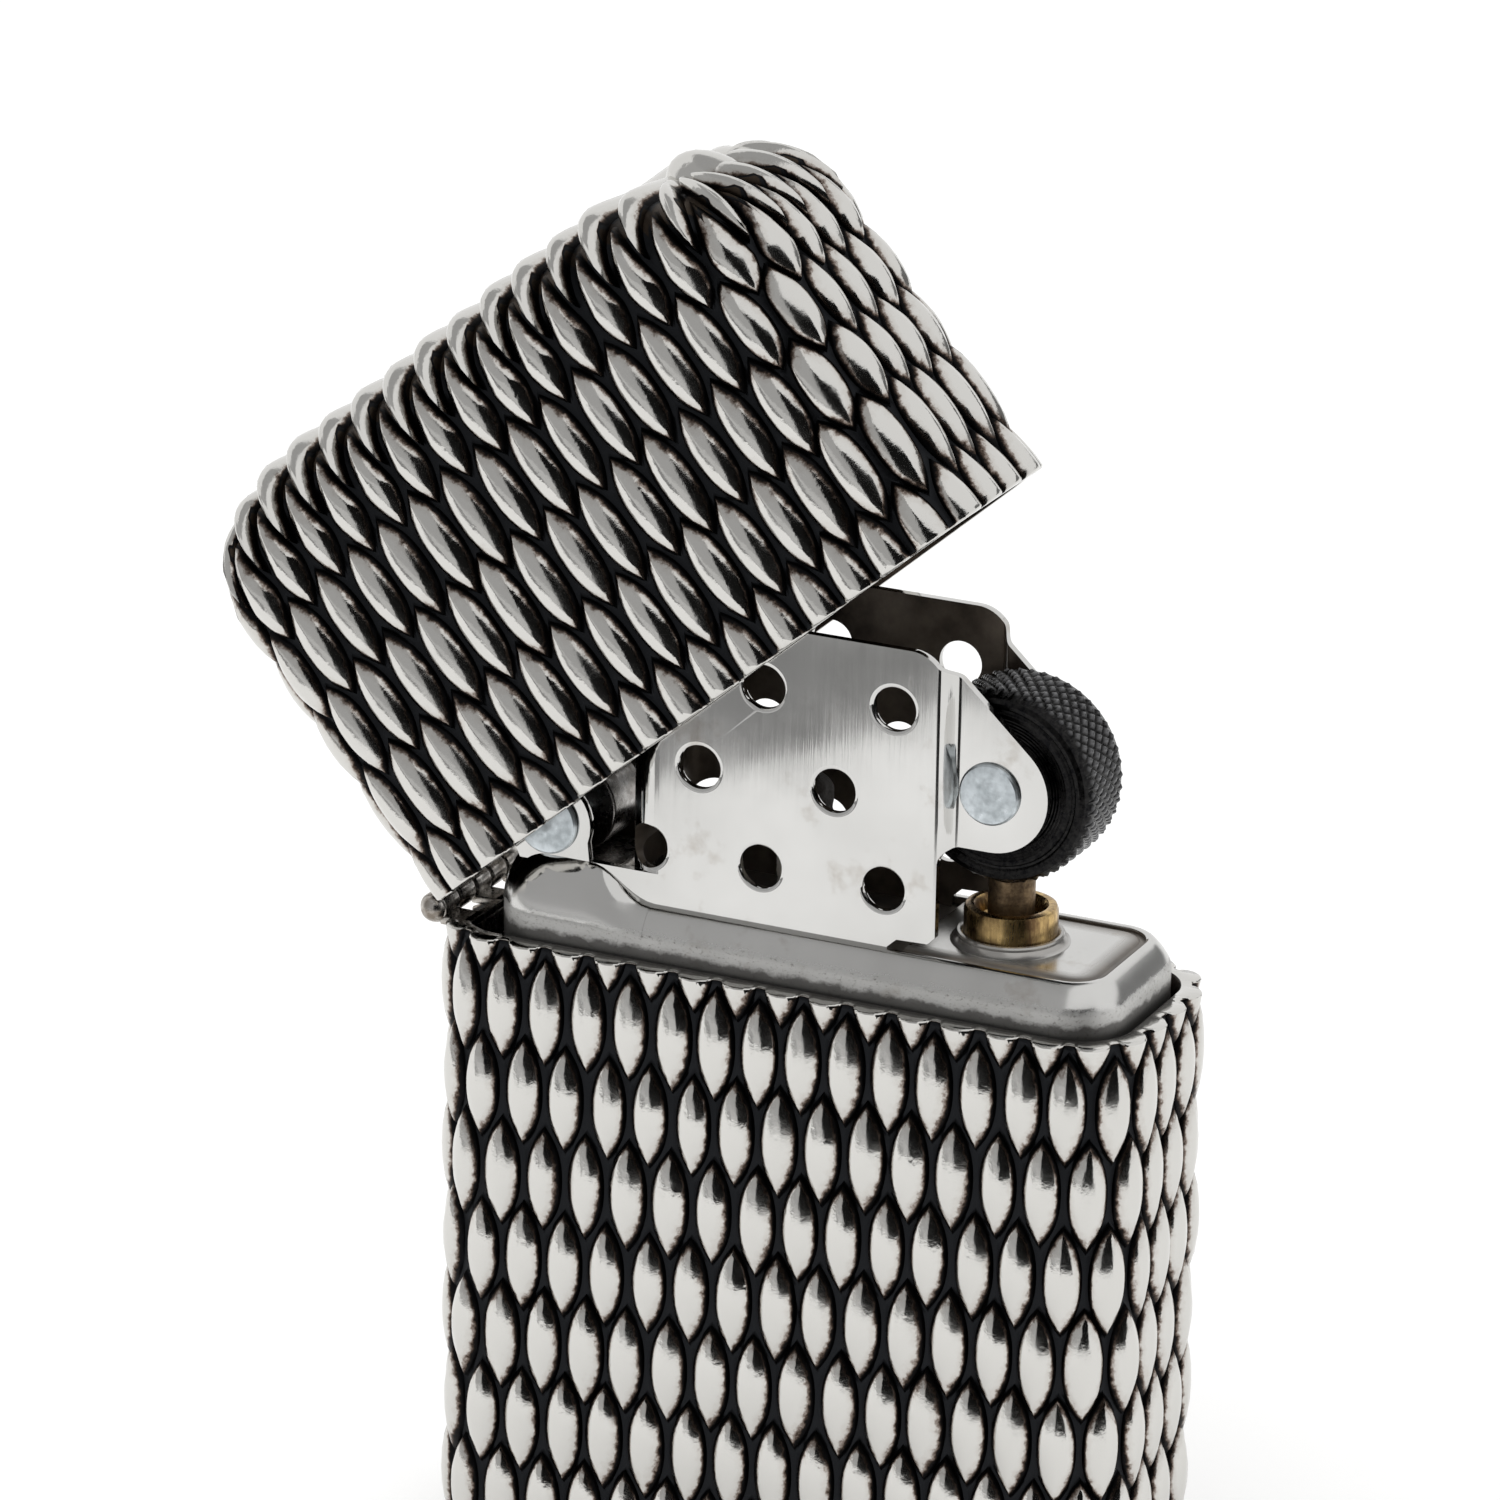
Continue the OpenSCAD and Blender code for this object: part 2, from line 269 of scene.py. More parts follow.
def capped_faces(rows, columns):
    """The same for closed rows, with one face over the first row and one over the last."""
    first, last = range(columns), range((rows - 1) * columns, rows * columns)
    return grid_faces(rows, columns) + [list(first), list(last)]


def circle(steps):
    """Angles that divide a full turn evenly."""
    return np.linspace(0, 2 * math.pi, steps, endpoint=False)


def ease(share):
    """A share from 0 to 1 with a soft start and end."""
    return share * share * (3 - 2 * share)


def between(value, low, high):
    """How far a number is on its way from low to high, from 0 to 1."""
    return min(max((value - low) / (high - low), 0), 1)


def lathe(profile, segments=64, closed=False):
    """A turned shape about Z from (radius, height) points; a closed profile makes a ring."""
    points = [[r * math.cos(a), r * math.sin(a), z] for r, z in profile for a in circle(segments)]
    bm = bmesh_of(points, grid_faces(len(profile), segments, wrap=closed))
    bmesh.ops.remove_doubles(bm, verts=bm.verts, dist=1e-4)
    return object_from("turned", bm)


def rod(r, low, high, segments=32):
    """A plain cylinder about Z, to cut with."""
    return lathe([(0, low), (r, low), (r, high), (0, high)], segments)


def under_wheel(o):
    """Moves a shape made about Z to stand under the wheel's middle."""
    return shift(o, (AXLE[0], 0, 0))


def along_y(o):
    """Lays a shape turned about Z along Y."""
    o.data.transform(Matrix.Rotation(math.pi / 2, 4, "X"))
    return o


def bore(o, place, r, half):
    """Drills a hole along Y through an object."""
    return carve(o, shift(along_y(rod(r, -half, half)), place))


def prism(points, low, high, axis="Z"):
    """A flat outline given a thickness along Z, or an X and Z outline given one along Y."""
    n = len(points)
    corners = [(a, b, level) if axis == "Z" else (a, level, b)
               for level in (low, high) for a, b in points]
    faces = [list(range(n)), list(range(n, 2 * n))] + grid_faces(2, n)
    return object_from("prism", bmesh_of(corners, faces))


def block(low, high):
    """A box between two corners, for cutting and for parts whose edges are rounded later."""
    return prism([(low[0], low[1]), (high[0], low[1]), (high[0], high[1]), (low[0], high[1])],
                 low[2], high[2])


def arc(cx, cy, r, start, end, steps):
    """Points of an arc between two angles in degrees."""
    return [(cx + r * math.cos(math.radians(a)), cy + r * math.sin(math.radians(a)))
            for a in np.linspace(start, end, steps)]


def coordinates(o):
    """An object's vertices in millimetres."""
    return np.array([v.co for v in o.data.vertices], float) / MM


def store(o, name, values, domain="POINT"):
    """Stores a number with each vertex or face, for the finish to read."""
    a = o.data.attributes.new(name, "FLOAT", domain)
    a.data.foreach_set("value", np.asarray(values).astype(np.float32))


# ---- Bead relief ----

COLUMNS = 40
PITCH_R = 3.629
ARC_LEN = PITCH_R * math.pi / 2
PERIMETER = 4 * (CORE_X + CORE_Y + ARC_LEN)
PITCH = PERIMETER / COLUMNS
FIRST_COLUMN = -0.155 * PITCH
EDGE_HALF = 1.42
BEAD_HALF_W = 1.06
BEAD_EDGE = 0.05
BEAD_POWER = 0.62
TIP_GAP = 0.16
POINT_RUN = 3.1
# How beads taper to a tip: the length of the taper and its power
SHARP = (POINT_RUN, 2.5)
SLIM = (4.1, 1.5)
ROPE = (5.0, 1.3)
BLUNT = (2.2, 2.5)
CASE_PITCH = 4.62
CUT_ROW_TIP = 1.95
LID_PITCH = 4.69
LID_ROW_TIP = 2.0
# Shares of a bead's width at which it has a ring of vertices
RINGS = [0.31, 0.59, 0.81, 0.93, 0.985]
SLANT_STEPS = 5
SIDE_STEPS = 6
LONG_STEPS = 13

TOP_R = SHOULDER_R - BEAD_H
CROWN = -0.25
RIDGE_TALL = 1.6
T_SHOULDER = LID_H - SHOULDER_R - BEAD_H * (RIDGE_TALL - 1)
T_TOP = T_SHOULDER + TOP_R * math.pi / 2
TOP_EDGE_R = VALLEY_R - TOP_R
TOP_RUN = CORE_Y + TOP_EDGE_R
T_MIDDLE = T_TOP + TOP_RUN
TOP_Z = T_SHOULDER + TOP_R
SKEW = -FIRST_COLUMN
STRAIGHT_COLUMNS = 6
FAN_X = (STRAIGHT_COLUMNS + 0.5) * PITCH
FAN_GAP = 1.7
FAN_TALL = 1.3
LID_ROWS = 5
RIDGE_REACH = 1.5
# How much lower the right-facing bead flanks are set: painted shade on that side, with some patina
FLANK_SHADE_AND_PATINA = 0.1
END_BEAD_X = 15.7
END_START = 10.5
END_FOOT = 7.0
END_DROP = 3.1

# Spread of each bead's place, size, height and lean
CELL_SHIFT = 0.025
CELL_GROW = 0.02
CELL_TALL = 0.04
CELL_LEAN = 0.05

rng = np.random.default_rng(SEED)


def core(s):
    """Point of the core rectangle and angle of its outward direction, at length s round the
    pitch line from the middle of the front towards +X."""
    steps = [0, CORE_X, ARC_LEN, 2 * CORE_Y, ARC_LEN, 2 * CORE_X, ARC_LEN, 2 * CORE_Y, ARC_LEN, CORE_X]
    knots = np.cumsum(steps)
    s = np.mod(s, PERIMETER)
    x = np.interp(s, knots, np.array([0, 1, 1, 1, 1, -1, -1, -1, -1, 0]) * CORE_X)
    y = np.interp(s, knots, np.array([-1, -1, -1, 1, 1, 1, 1, -1, -1, -1]) * CORE_Y)
    turn = np.interp(s, knots, np.radians([0, 0, 90, 90, 180, 180, 270, 270, 360, 360]))
    return x, y, turn


def wall_points(s, z, h):
    """Points on a straight wall at length s, height z and height h above the valleys."""
    x, y, turn = core(s)
    r = VALLEY_R + h
    return np.stack([x + np.sin(turn) * r, y - np.cos(turn) * r, z], -1)


def lid_points(s, t, h):
    """Points on the closed lid at length s round it and length t from its rim: up the wall,
    over the shoulder and in to the middle of the top."""
    x, y, turn = core(s)
    out_x, out_y = np.sin(turn), -np.cos(turn)
    phi = np.clip((t - T_SHOULDER) / TOP_R, 0, math.pi / 2)
    r = TOP_EDGE_R + (TOP_R + h) * np.cos(phi)
    z = np.minimum(t, T_SHOULDER) + (TOP_R + h) * np.sin(phi)
    px = x + out_x * r
    py = y + out_y * r
    share = np.clip((t - T_TOP) / TOP_RUN, 0, 1)
    along = np.mod(s + PERIMETER / 4, PERIMETER) - PERIMETER / 4
    front = along < PERIMETER / 4
    target = np.where(front, along + SKEW, PERIMETER / 2 - along - SKEW)
    target = np.clip(target, -FAN_X, FAN_X)
    px = px + (target - px) * share
    py = py * (1 - share)
    z = z + CROWN * ease(share)
    return np.stack([px, py, z + LID_RIM_Z], -1)


def cell_side(low, edge_low, edge_high, high, side_steps):
    """Heights and half widths of a cell's right side, between its pointed corners."""
    z = np.concatenate([np.linspace(low, edge_low, SLANT_STEPS + 1)[:-1],
                        np.linspace(edge_low, edge_high, side_steps + 1)[:-1],
                        np.linspace(edge_high, high, SLANT_STEPS + 1)])
    return z, np.interp(z, [low, edge_low, edge_high, high], [0, 1, 1, 0]) * PITCH / 2


def taper(distance, point):
    """Share of its full width that a bead has at a distance from its tip. A point is the
    length of the taper and its power."""
    length, power = point
    return 1 - np.clip(1 - distance / length, 0, 1) ** power


def cell_rings(side, low_point, high_point, tall=1.0, end_gap=TIP_GAP):
    """Offsets and heights of one cell's vertices, ring by ring from its border to its middle,
    and how much of the cell's own variation each ring takes."""
    z, width = side
    back = slice(-2, 0, -1) if width[-1] == 0 else slice(-1, 0, -1)
    x_loop = np.concatenate([width, -width[back]])
    z_loop = np.concatenate([z, z[back]])
    low, high = z[0] + TIP_GAP, z[-1] - end_gap
    bead_z = np.interp(z_loop, [z[0], z[-1]], [low, high])
    share = np.minimum(taper(bead_z - low, low_point), taper(high - bead_z, high_point))
    bead_x = np.sign(x_loop) * BEAD_HALF_W * share
    spine = (low + min(low_point[0], POINT_RUN), high - min(high_point[0], POINT_RUN))
    fixed = np.clip(bead_z, min(spine), max(spine))
    rows = [(x_loop, z_loop, np.zeros_like(x_loop), 0.0)]
    for rho in [1.0] + RINGS[::-1] + [0.0]:
        height = tall * (BEAD_EDGE + (BEAD_H - BEAD_EDGE) * (1 - rho ** 2) ** BEAD_POWER)
        rows.append((bead_x * rho, fixed + (bead_z - fixed) * rho, np.full_like(x_loop, height), 1.0))
    return rows


def add_cell(out, rows, place):
    """Adds one cell, a little different from the others, to the lists of vertices and faces.
    place maps (x, z, h) to points."""
    dx, dz = rng.normal(0, CELL_SHIFT, 2)
    grow = rng.normal(0, CELL_GROW)
    tall = 1 + rng.normal(0, CELL_TALL)
    lean = rng.normal(0, CELL_LEAN)
    base = len(out["verts"])
    for x, z, h, share in rows:
        size = 1 + grow * share
        points = place(x * size + dx * share, z * size + dz * share, h * tall * (1 + lean * x * share))
        out["verts"].extend(points)
    out["faces"] += [[base + i for i in f] for f in grid_faces(len(rows), len(rows[0][0]))]


def plain_cell(pitch):
    """The rings of a row's pointed cell, and half the cell's length."""
    half = pitch - EDGE_HALF
    return cell_rings(cell_side(-half, -EDGE_HALF, EDGE_HALF, half, SIDE_STEPS), SHARP, SHARP), half


def add_row(out, rows, row, centre, surface):
    """Adds a row of cells all the way round; every second row is moved by half a cell."""
    for column in range(COLUMNS):
        s = FIRST_COLUMN + (column + 0.5 * ((row + 1) % 2)) * PITCH
        add_cell(out, rows, lambda x, z, h: surface(s + x, centre + z, h))


def welded(out):
    """A bmesh of the cells with the vertices that neighbours share made one."""
    bm = bmesh_of(out["verts"], out["faces"])
    bmesh.ops.remove_doubles(bm, verts=bm.verts, dist=0.004)
    bmesh.ops.dissolve_degenerate(bm, dist=1e-4, edges=bm.edges)
    return bm


def cut_level(bm, z, keep_above):
    """Cuts the sheet at a height and returns the loop of vertices along the cut, in order."""
    geom = list(bm.verts) + list(bm.edges) + list(bm.faces)
    bmesh.ops.bisect_plane(bm, geom=geom, dist=1e-5, plane_co=(0, 0, z), plane_no=(0, 0, 1),
                           clear_inner=keep_above, clear_outer=not keep_above)
    border = [e for e in bm.edges if e.is_boundary and all(abs(v.co.z - z) < 1e-3 for v in e.verts)]
    follow = {}
    for e in border:
        for v in e.verts:
            follow.setdefault(v, []).append(e.other_vert(v))
    loop = [border[0].verts[0]]
    previous = None
    while True:
        ahead = [v for v in follow[loop[-1]] if v is not previous]
        if not ahead or ahead[0] is loop[0]:
            break
        previous = loop[-1]
        loop.append(ahead[0])
    return loop


def core_of(v):
    """Nearest core point, outward direction and radius of a vertex seen from above."""
    cx = min(max(v.co.x, -CORE_X), CORE_X)
    cy = min(max(v.co.y, -CORE_Y), CORE_Y)
    d = Vector((v.co.x - cx, v.co.y - cy))
    return cx, cy, d.normalized(), d.length


def close_with(bm, loop, levels):
    """Adds loops that follow a cut's own vertices: each level is (change of radius or None,
    radius, height). The last loop is closed with one flat face."""
    places = [core_of(v) for v in loop]
    verts = list(loop)
    for inset, radius, z in levels:
        for cx, cy, d, r in places:
            far = r - inset if radius is None else radius
            verts.append(bm.verts.new((cx + d.x * far, cy + d.y * far, z)))
    for f in grid_faces(len(levels) + 1, len(loop)):
        bm.faces.new([verts[i] for i in f])
    bm.faces.new(verts[-len(loop):])


def outside_core(co):
    """How far points lie outside the core rectangle in X and in Y."""
    return [co[:, i] - np.clip(co[:, i], -limit, limit) for i, limit in ((0, CORE_X), (1, CORE_Y))]


def store_relief(o, height_over_valley):
    """Stores how far each vertex stands above the valleys, from 0 to 1. The flanks that face round to the
    right are set lower, so they come out darker and rougher: partly patina, partly painted shade on that
    side."""
    co = coordinates(o)
    normal = np.array([v.normal for v in o.data.vertices], float)
    out_x, out_y = outside_core(co)
    far = np.hypot(out_x, out_y)
    on_top = (far < 0.05) | (co[:, 2] > LID_RIM_Z + LID_H - 2)
    right_x = np.where(on_top, 1, -out_y / np.maximum(far, 0.05))
    right_y = np.where(on_top, 0, out_x / np.maximum(far, 0.05))
    # How much each vertex faces right; these flanks are set lower and drawn darker, painted shade along
    # with the patina there
    flank = np.maximum(normal[:, 0] * right_x + normal[:, 1] * right_y, 0)
    value = height_over_valley(co)
    store(o, "relief", np.clip(np.where(value > 0, value - FLANK_SHADE_AND_PATINA * flank, value), -1, 1))


def case_relief(co):
    """Height over the valleys of the lower case: the cut rim counts as bare, the inside as -1."""
    r = np.hypot(*outside_core(co))
    value = (r - VALLEY_R) / BEAD_H
    value = np.where(r < INNER_R + 0.2, -1, value)
    ends = (np.abs(co[:, 2] - RIM_Z) < 0.02) | (co[:, 2] < 0.05)
    return np.where(ends, 1, value)


def lid_relief(co):
    """The same for the closed lid, whose valleys run on over the shoulder and the top."""
    r = np.hypot(*outside_core(co))
    z = co[:, 2] - LID_RIM_Z
    side = r - VALLEY_R
    shoulder = np.hypot(np.maximum(r - TOP_EDGE_R, 0), z - T_SHOULDER) - TOP_R
    inward = TOP_EDGE_R - r + np.where(r > 0, 0, CORE_Y - np.abs(co[:, 1]))
    share = np.clip(inward / TOP_RUN, 0, 1)
    top = z - TOP_Z - CROWN * ease(share)
    value = np.where(z < T_SHOULDER, side, np.where(r > TOP_EDGE_R, shoulder, top)) / BEAD_H
    value = value / (1 + 0.25 * np.clip((z - T_SHOULDER) / TOP_R + 1, 0, 1))
    inside = (z < LID_H - WALL_T + 0.15) & (r < INNER_R + 0.2)
    value = np.where(inside, -1, value)
    return np.where(np.abs(z) < 0.02, 1, value)


RIM_CHAMFER = 0.1
FLOOR_T = 1.2
BASE_ROUND = 0.45
CASE_ROWS = 9
ROOM_HALF = 4.85
ROOM_R = 0.95
ROOM_REACH = 2.6


def hinge_room():
    """The space in both walls for the hinge barrel and the straps of its leaves."""
    barrel = shift(along_y(rod(ROOM_R, -ROOM_HALF, ROOM_HALF)), HINGE)
    straps = block((HINGE[0], -ROOM_HALF, HINGE[2] - ROOM_R),
                   (HINGE[0] + ROOM_REACH, ROOM_HALF, HINGE[2] + ROOM_R))
    return carve(barrel, straps, "UNION")


def make_lower_case(material):
    """The lower case: rows of beads cut off flat at the rim and at the base."""
    out = {"verts": [], "faces": []}
    rows, half_len = plain_cell(CASE_PITCH)
    first_centre = RIM_Z - CUT_ROW_TIP + half_len - TIP_GAP
    for row in range(CASE_ROWS):
        add_row(out, rows, row, first_centre - row * CASE_PITCH, wall_points)
    bm = welded(out)
    top = cut_level(bm, RIM_Z - RIM_CHAMFER, keep_above=False)
    close_with(bm, top, [
        (RIM_CHAMFER, None, RIM_Z), (0, INNER_R + RIM_CHAMFER, RIM_Z),
        (0, INNER_R, RIM_Z - RIM_CHAMFER), (0, INNER_R, FLOOR_T + 0.8),
        (0, INNER_R - 0.25, FLOOR_T + 0.25), (0, INNER_R - 0.8, FLOOR_T)])
    bottom = cut_level(bm, BASE_ROUND, keep_above=True)
    close_with(bm, bottom, [
        (0.1, None, 0.16), (0.32, None, 0.03), (0.5, None, 0.0), (0, 2.2, 0.0)])
    o = object_from("lower_case", bm)
    carve(o, hinge_room())
    store_relief(o, case_relief)
    finish_piece(smooth(o, 50), "beaded_lower_case", "case", "lower_case", material)


def end_bead(x):
    """The plump bead on each end of the lid's top, where the fan's beads meet."""
    half_len, half_w, tall = 2.2, 1.6, 2.1
    foot = LID_RIM_Z + TOP_Z + CROWN * 0.5 - 0.2
    blunt_end = math.copysign(0.12, x)
    rows, n = 8, 32
    points = []
    for i in range(rows):
        rho = math.cos(i / (rows - 1) * math.pi / 2)
        h = tall * (1 - rho ** 2) ** 0.6
        for a in circle(n):
            reach = 1 + blunt_end * math.cos(a)
            points.append((x + half_len * math.cos(a) * rho, half_w * math.sin(a) * rho * reach, foot + h))
    bm = bmesh_of(points, grid_faces(rows, n) + [list(range(n))])
    bmesh.ops.remove_doubles(bm, verts=bm.verts, dist=1e-3)
    return object_from("end_bead", bm)


def round_ends(o):
    """Lowers the closed lid's top towards its two ends, more the nearer it is to them."""
    for v in o.data.vertices:
        x, z = abs(v.co.x) / MM, v.co.z / MM - LID_RIM_Z
        out = between(x, END_START, HALF_W)
        v.co.z -= END_DROP * out ** 2 * between(z, END_FOOT, T_SHOULDER) * MM
    return o


def make_lid(material):
    """The lid: rows of beads, then ridges that run over the shoulder and across the top, and
    fan out round a plump bead at each end."""
    out = {"verts": [], "faces": []}
    rows, half_len = plain_cell(LID_PITCH)
    first_tip = LID_ROW_TIP - LID_PITCH
    ridge_tip = first_tip + LID_ROWS * LID_PITCH - TIP_GAP - RIDGE_REACH
    for row in range(LID_ROWS):
        t_centre = first_tip + row * LID_PITCH + half_len - TIP_GAP
        if row == LID_ROWS - 1:
            side = cell_side(-half_len, -EDGE_HALF, ridge_tip - t_centre, half_len, SIDE_STEPS)
            rows = cell_rings(side, SHARP, SLIM)
            slant = t_centre + half_len - ridge_tip
        add_row(out, rows, row, t_centre, lid_points)
    half = T_MIDDLE - ridge_tip
    ridge = cell_rings(cell_side(-half, slant - half, half - slant, half, 2 * LONG_STEPS), ROPE, ROPE,
                       RIDGE_TALL)
    for column in range(-STRAIGHT_COLUMNS, STRAIGHT_COLUMNS + 1):
        s_front = FIRST_COLUMN + column * PITCH
        s_back = PERIMETER / 2 - (s_front + 2 * SKEW)

        def across(x, z, h):
            s = np.where(z < 0, s_front + x, s_back - x)
            return lid_points(s, T_MIDDLE - np.abs(z), h)
        add_cell(out, ridge, across)
    z = np.concatenate([np.linspace(0, slant, SLANT_STEPS + 1)[:-1],
                        np.linspace(slant, half, LONG_STEPS + 1)])
    width = np.clip(z / slant, 0, 1) * PITCH / 2
    fan = cell_rings((z, width), ROPE, BLUNT, FAN_TALL, FAN_GAP)
    for end in (0, 1):
        for i in range(COLUMNS // 2 - 2 * STRAIGHT_COLUMNS - 1):
            s_centre = FIRST_COLUMN + (STRAIGHT_COLUMNS + 1 + i) * PITCH + end * PERIMETER / 2
            add_cell(out, fan, lambda x, z, h: lid_points(s_centre + x, ridge_tip + z, h))
    bm = welded(out)
    rim = cut_level(bm, LID_RIM_Z + RIM_CHAMFER, keep_above=True)
    cavity = LID_RIM_Z + LID_H - WALL_T
    round_in = SHOULDER_R - WALL_T
    close_with(bm, rim, [
        (RIM_CHAMFER, None, LID_RIM_Z), (0, INNER_R + RIM_CHAMFER, LID_RIM_Z),
        (0, INNER_R, LID_RIM_Z + RIM_CHAMFER), (0, INNER_R, cavity - round_in),
        (0, INNER_R - round_in * 0.13, cavity - round_in * 0.5),
        (0, INNER_R - round_in * 0.5, cavity - round_in * 0.13), (0, INNER_R - round_in, cavity)])
    o = object_from("lid", bm)
    carve(o, hinge_room())
    o = join("lid", [o] + [end_bead(x) for x in (-END_BEAD_X, END_BEAD_X)])
    store_relief(o, lid_relief)
    smooth(round_ends(o), 50)
    finish_piece(swing_open(o), "beaded_lid", "lid", "lid_case", material)


# ---- Hinge ----

BARREL_R = 0.8
BARREL_LEN = 8.8
PIN_R = 0.35
LEAF_T = 0.45
LEAF_H = 6.0
LEAF_X = -(HALF_W - WALL_T) + 0.02
KNUCKLE_GAP = 0.06
PIN_END_GAP = 0.02
DOME_BACK = 0.36


def hinge_leaf(spans):
    """A leaf with its knuckles, as the lower one stands; spans are shares of the barrel."""
    parts = []
    low_z = HINGE[2] - BARREL_R
    for start, end in spans:
        y0 = (start - 0.5) * BARREL_LEN + KNUCKLE_GAP
        y1 = (end - 0.5) * BARREL_LEN - KNUCKLE_GAP
        hole_r, edge = PIN_R + 0.03, 0.1
        knuckle = lathe([(hole_r, y0), (BARREL_R - edge, y0), (BARREL_R, y0 + edge),
                         (BARREL_R, y1 - edge), (BARREL_R - edge, y1), (hole_r, y1)], 40, closed=True)
        knuckle.data.transform(Matrix.Rotation(-math.pi / 2, 4, "X"))
        parts.append(shift(knuckle, (HINGE[0], 0, HINGE[2])))
        parts.append(block((HINGE[0] + BARREL_R * 0.5, y0, low_z),
                           (LEAF_X + LEAF_T, y1, low_z + LEAF_T)))
    bar = BARREL_LEN / 2 - KNUCKLE_GAP
    parts.append(block((LEAF_X, -bar, low_z), (LEAF_X + LEAF_T, bar, low_z + LEAF_T)))
    parts.append(block((LEAF_X, -CORE_Y, low_z - LEAF_H), (LEAF_X + LEAF_T, CORE_Y, low_z + 0.02)))
    return soften(join("leaf", parts), 0.07, 2)


def make_hinge(material):
    """Both leaves and the pin with its domed ends."""
    lower = hinge_leaf([(0, 0.2), (0.4, 0.6), (0.8, 1)])
    finish_piece(lower, "lower_leaf", "case", "lower_hinge_leaf", material)
    upper = hinge_leaf([(0.2, 0.4), (0.6, 0.8)])
    flip = Matrix.Translation((0, 0, 2 * HINGE[2] * MM)) @ Matrix.Scale(-1, 4, (0, 0, 1))
    upper.data.transform(flip)
    upper.data.flip_normals()
    swing_open(upper)
    finish_piece(upper, "lid_leaf", "lid", "lid_hinge_leaf", material)
    half = BARREL_LEN / 2 - PIN_END_GAP
    dome = arc(0, half - DOME_BACK, BARREL_R, 27, 88, 8)
    profile = [(r, -y) for r, y in dome[::-1]] + [(PIN_R, -half), (PIN_R, half)] + dome
    profile = [(0, profile[0][1])] + profile + [(0, profile[-1][1])]
    pin = shift(along_y(lathe(profile, 32)), (HINGE[0], 0, HINGE[2]))
    finish_piece(smooth(pin), "hinge_pin_domed", "case", "hinge_pin", material)


# ---- Insert ----

CAN_R = 3.0
CAN_MID_X = 0.75
CAN_W = 34.6
CAN_D = 11.0
CAN_HX = CAN_W / 2 - CAN_R
CAN_HY = CAN_D / 2 - CAN_R
CAN_TOP = RIM_Z + 2.5
CAN_Z0 = can_low[2]
STEEL_T = 0.45
CAN_ROUND = 1.2
WALL_Y = CAN_D / 2 - CAN_ROUND - 0.03
CHIMNEY_X0 = -9.4
CHIMNEY_X1 = 8.1
CHIMNEY_TOP = can_high[2]
CHIMNEY_END_R = 2.2
PLINTH_TOP = RIM_Z + 4.2
EAR_Y = 3.1
EAR_R = 3.1
EAR_LOW = RIM_Z + 8.1
BEND_RUN = 0.85
SHOULDER_ROUND = 1.9
AIR_R = 1.17
AIR_DISH = 0.2
# Height of each row of air holes over the rim, and the X of its holes
AIR_ROWS = [(5.6, (-7.9, -1.5, 5.3)), (10.35, (-5, 2.5)), (15.2, (-8, -1.5, 5.7))]
LIP_R = CAN_R - CAN_ROUND - 0.14
WALL_START = -17
EAR_END = 14.4
CAM_EAR_R = 2.4
CAM_BORE = 0.92
AXLE_BORE = 0.82
# Half the length of a cutter that goes right through the insert
CLEAR = 8


def can_ring(steps=14):
    """Core points and outward angles round the can, from the middle of the wheel end."""
    ring = []
    for cx, cy, start in ((CAN_HX, CAN_HY, 0), (-CAN_HX, CAN_HY, 90),
                          (-CAN_HX, -CAN_HY, 180), (CAN_HX, -CAN_HY, 270)):
        for a in np.linspace(start, start + 90, steps):
            ring.append((CAN_MID_X + cx, cy, math.radians(a)))
    return ring


def ring_solid(ring, profile, closed=True):
    """A solid swept round a ring of core points by a profile of (radius, height) points."""
    points = [(cx + r * math.cos(a), cy + r * math.sin(a), z)
              for r, z in profile for cx, cy, a in ring]
    rows, columns = len(profile), len(ring)
    faces = grid_faces(rows, columns, wrap=True) if closed else capped_faces(rows, columns)
    return object_from("ring", bmesh_of(points, faces))


# How far the can's edge has come in, and how far it lies under the top, from its side upwards
CAN_EDGE = [(0, 1.5), (0.02, 1.35), (0.07, 1.18), (0.17, 1.0), (0.41, 0.62), (0.72, 0.25),
            (0.86, 0.11), (1.0, 0.03), (CAN_ROUND, 0)]


def make_can():
    """The can's thin wall with its rounded top edge, open below and inside the edge."""
    start = CAN_TOP - CAN_ROUND
    outer = [(CAN_R, CAN_Z0)] + [(CAN_R - inset, CAN_TOP - drop) for inset, drop in CAN_EDGE]
    inner = [(LIP_R + 0.02, CAN_TOP - 0.04), (LIP_R, CAN_TOP - 0.12), (LIP_R, CAN_TOP - STEEL_T)]
    inner += arc(CAN_R - CAN_ROUND, start, CAN_ROUND - STEEL_T, 80, 0, 5)
    inner += [(CAN_R - STEEL_T, CAN_Z0)]
    return smooth(ring_solid(can_ring(), outer + inner), 35)


SKIRT_H = 2.9
SKIRT_END = -7.5
SKIRT_BLEND = 3.5
SKIRT_T = 0.3
SKIRT_PROUD = 0.015
SKIRT_STEPS = 21


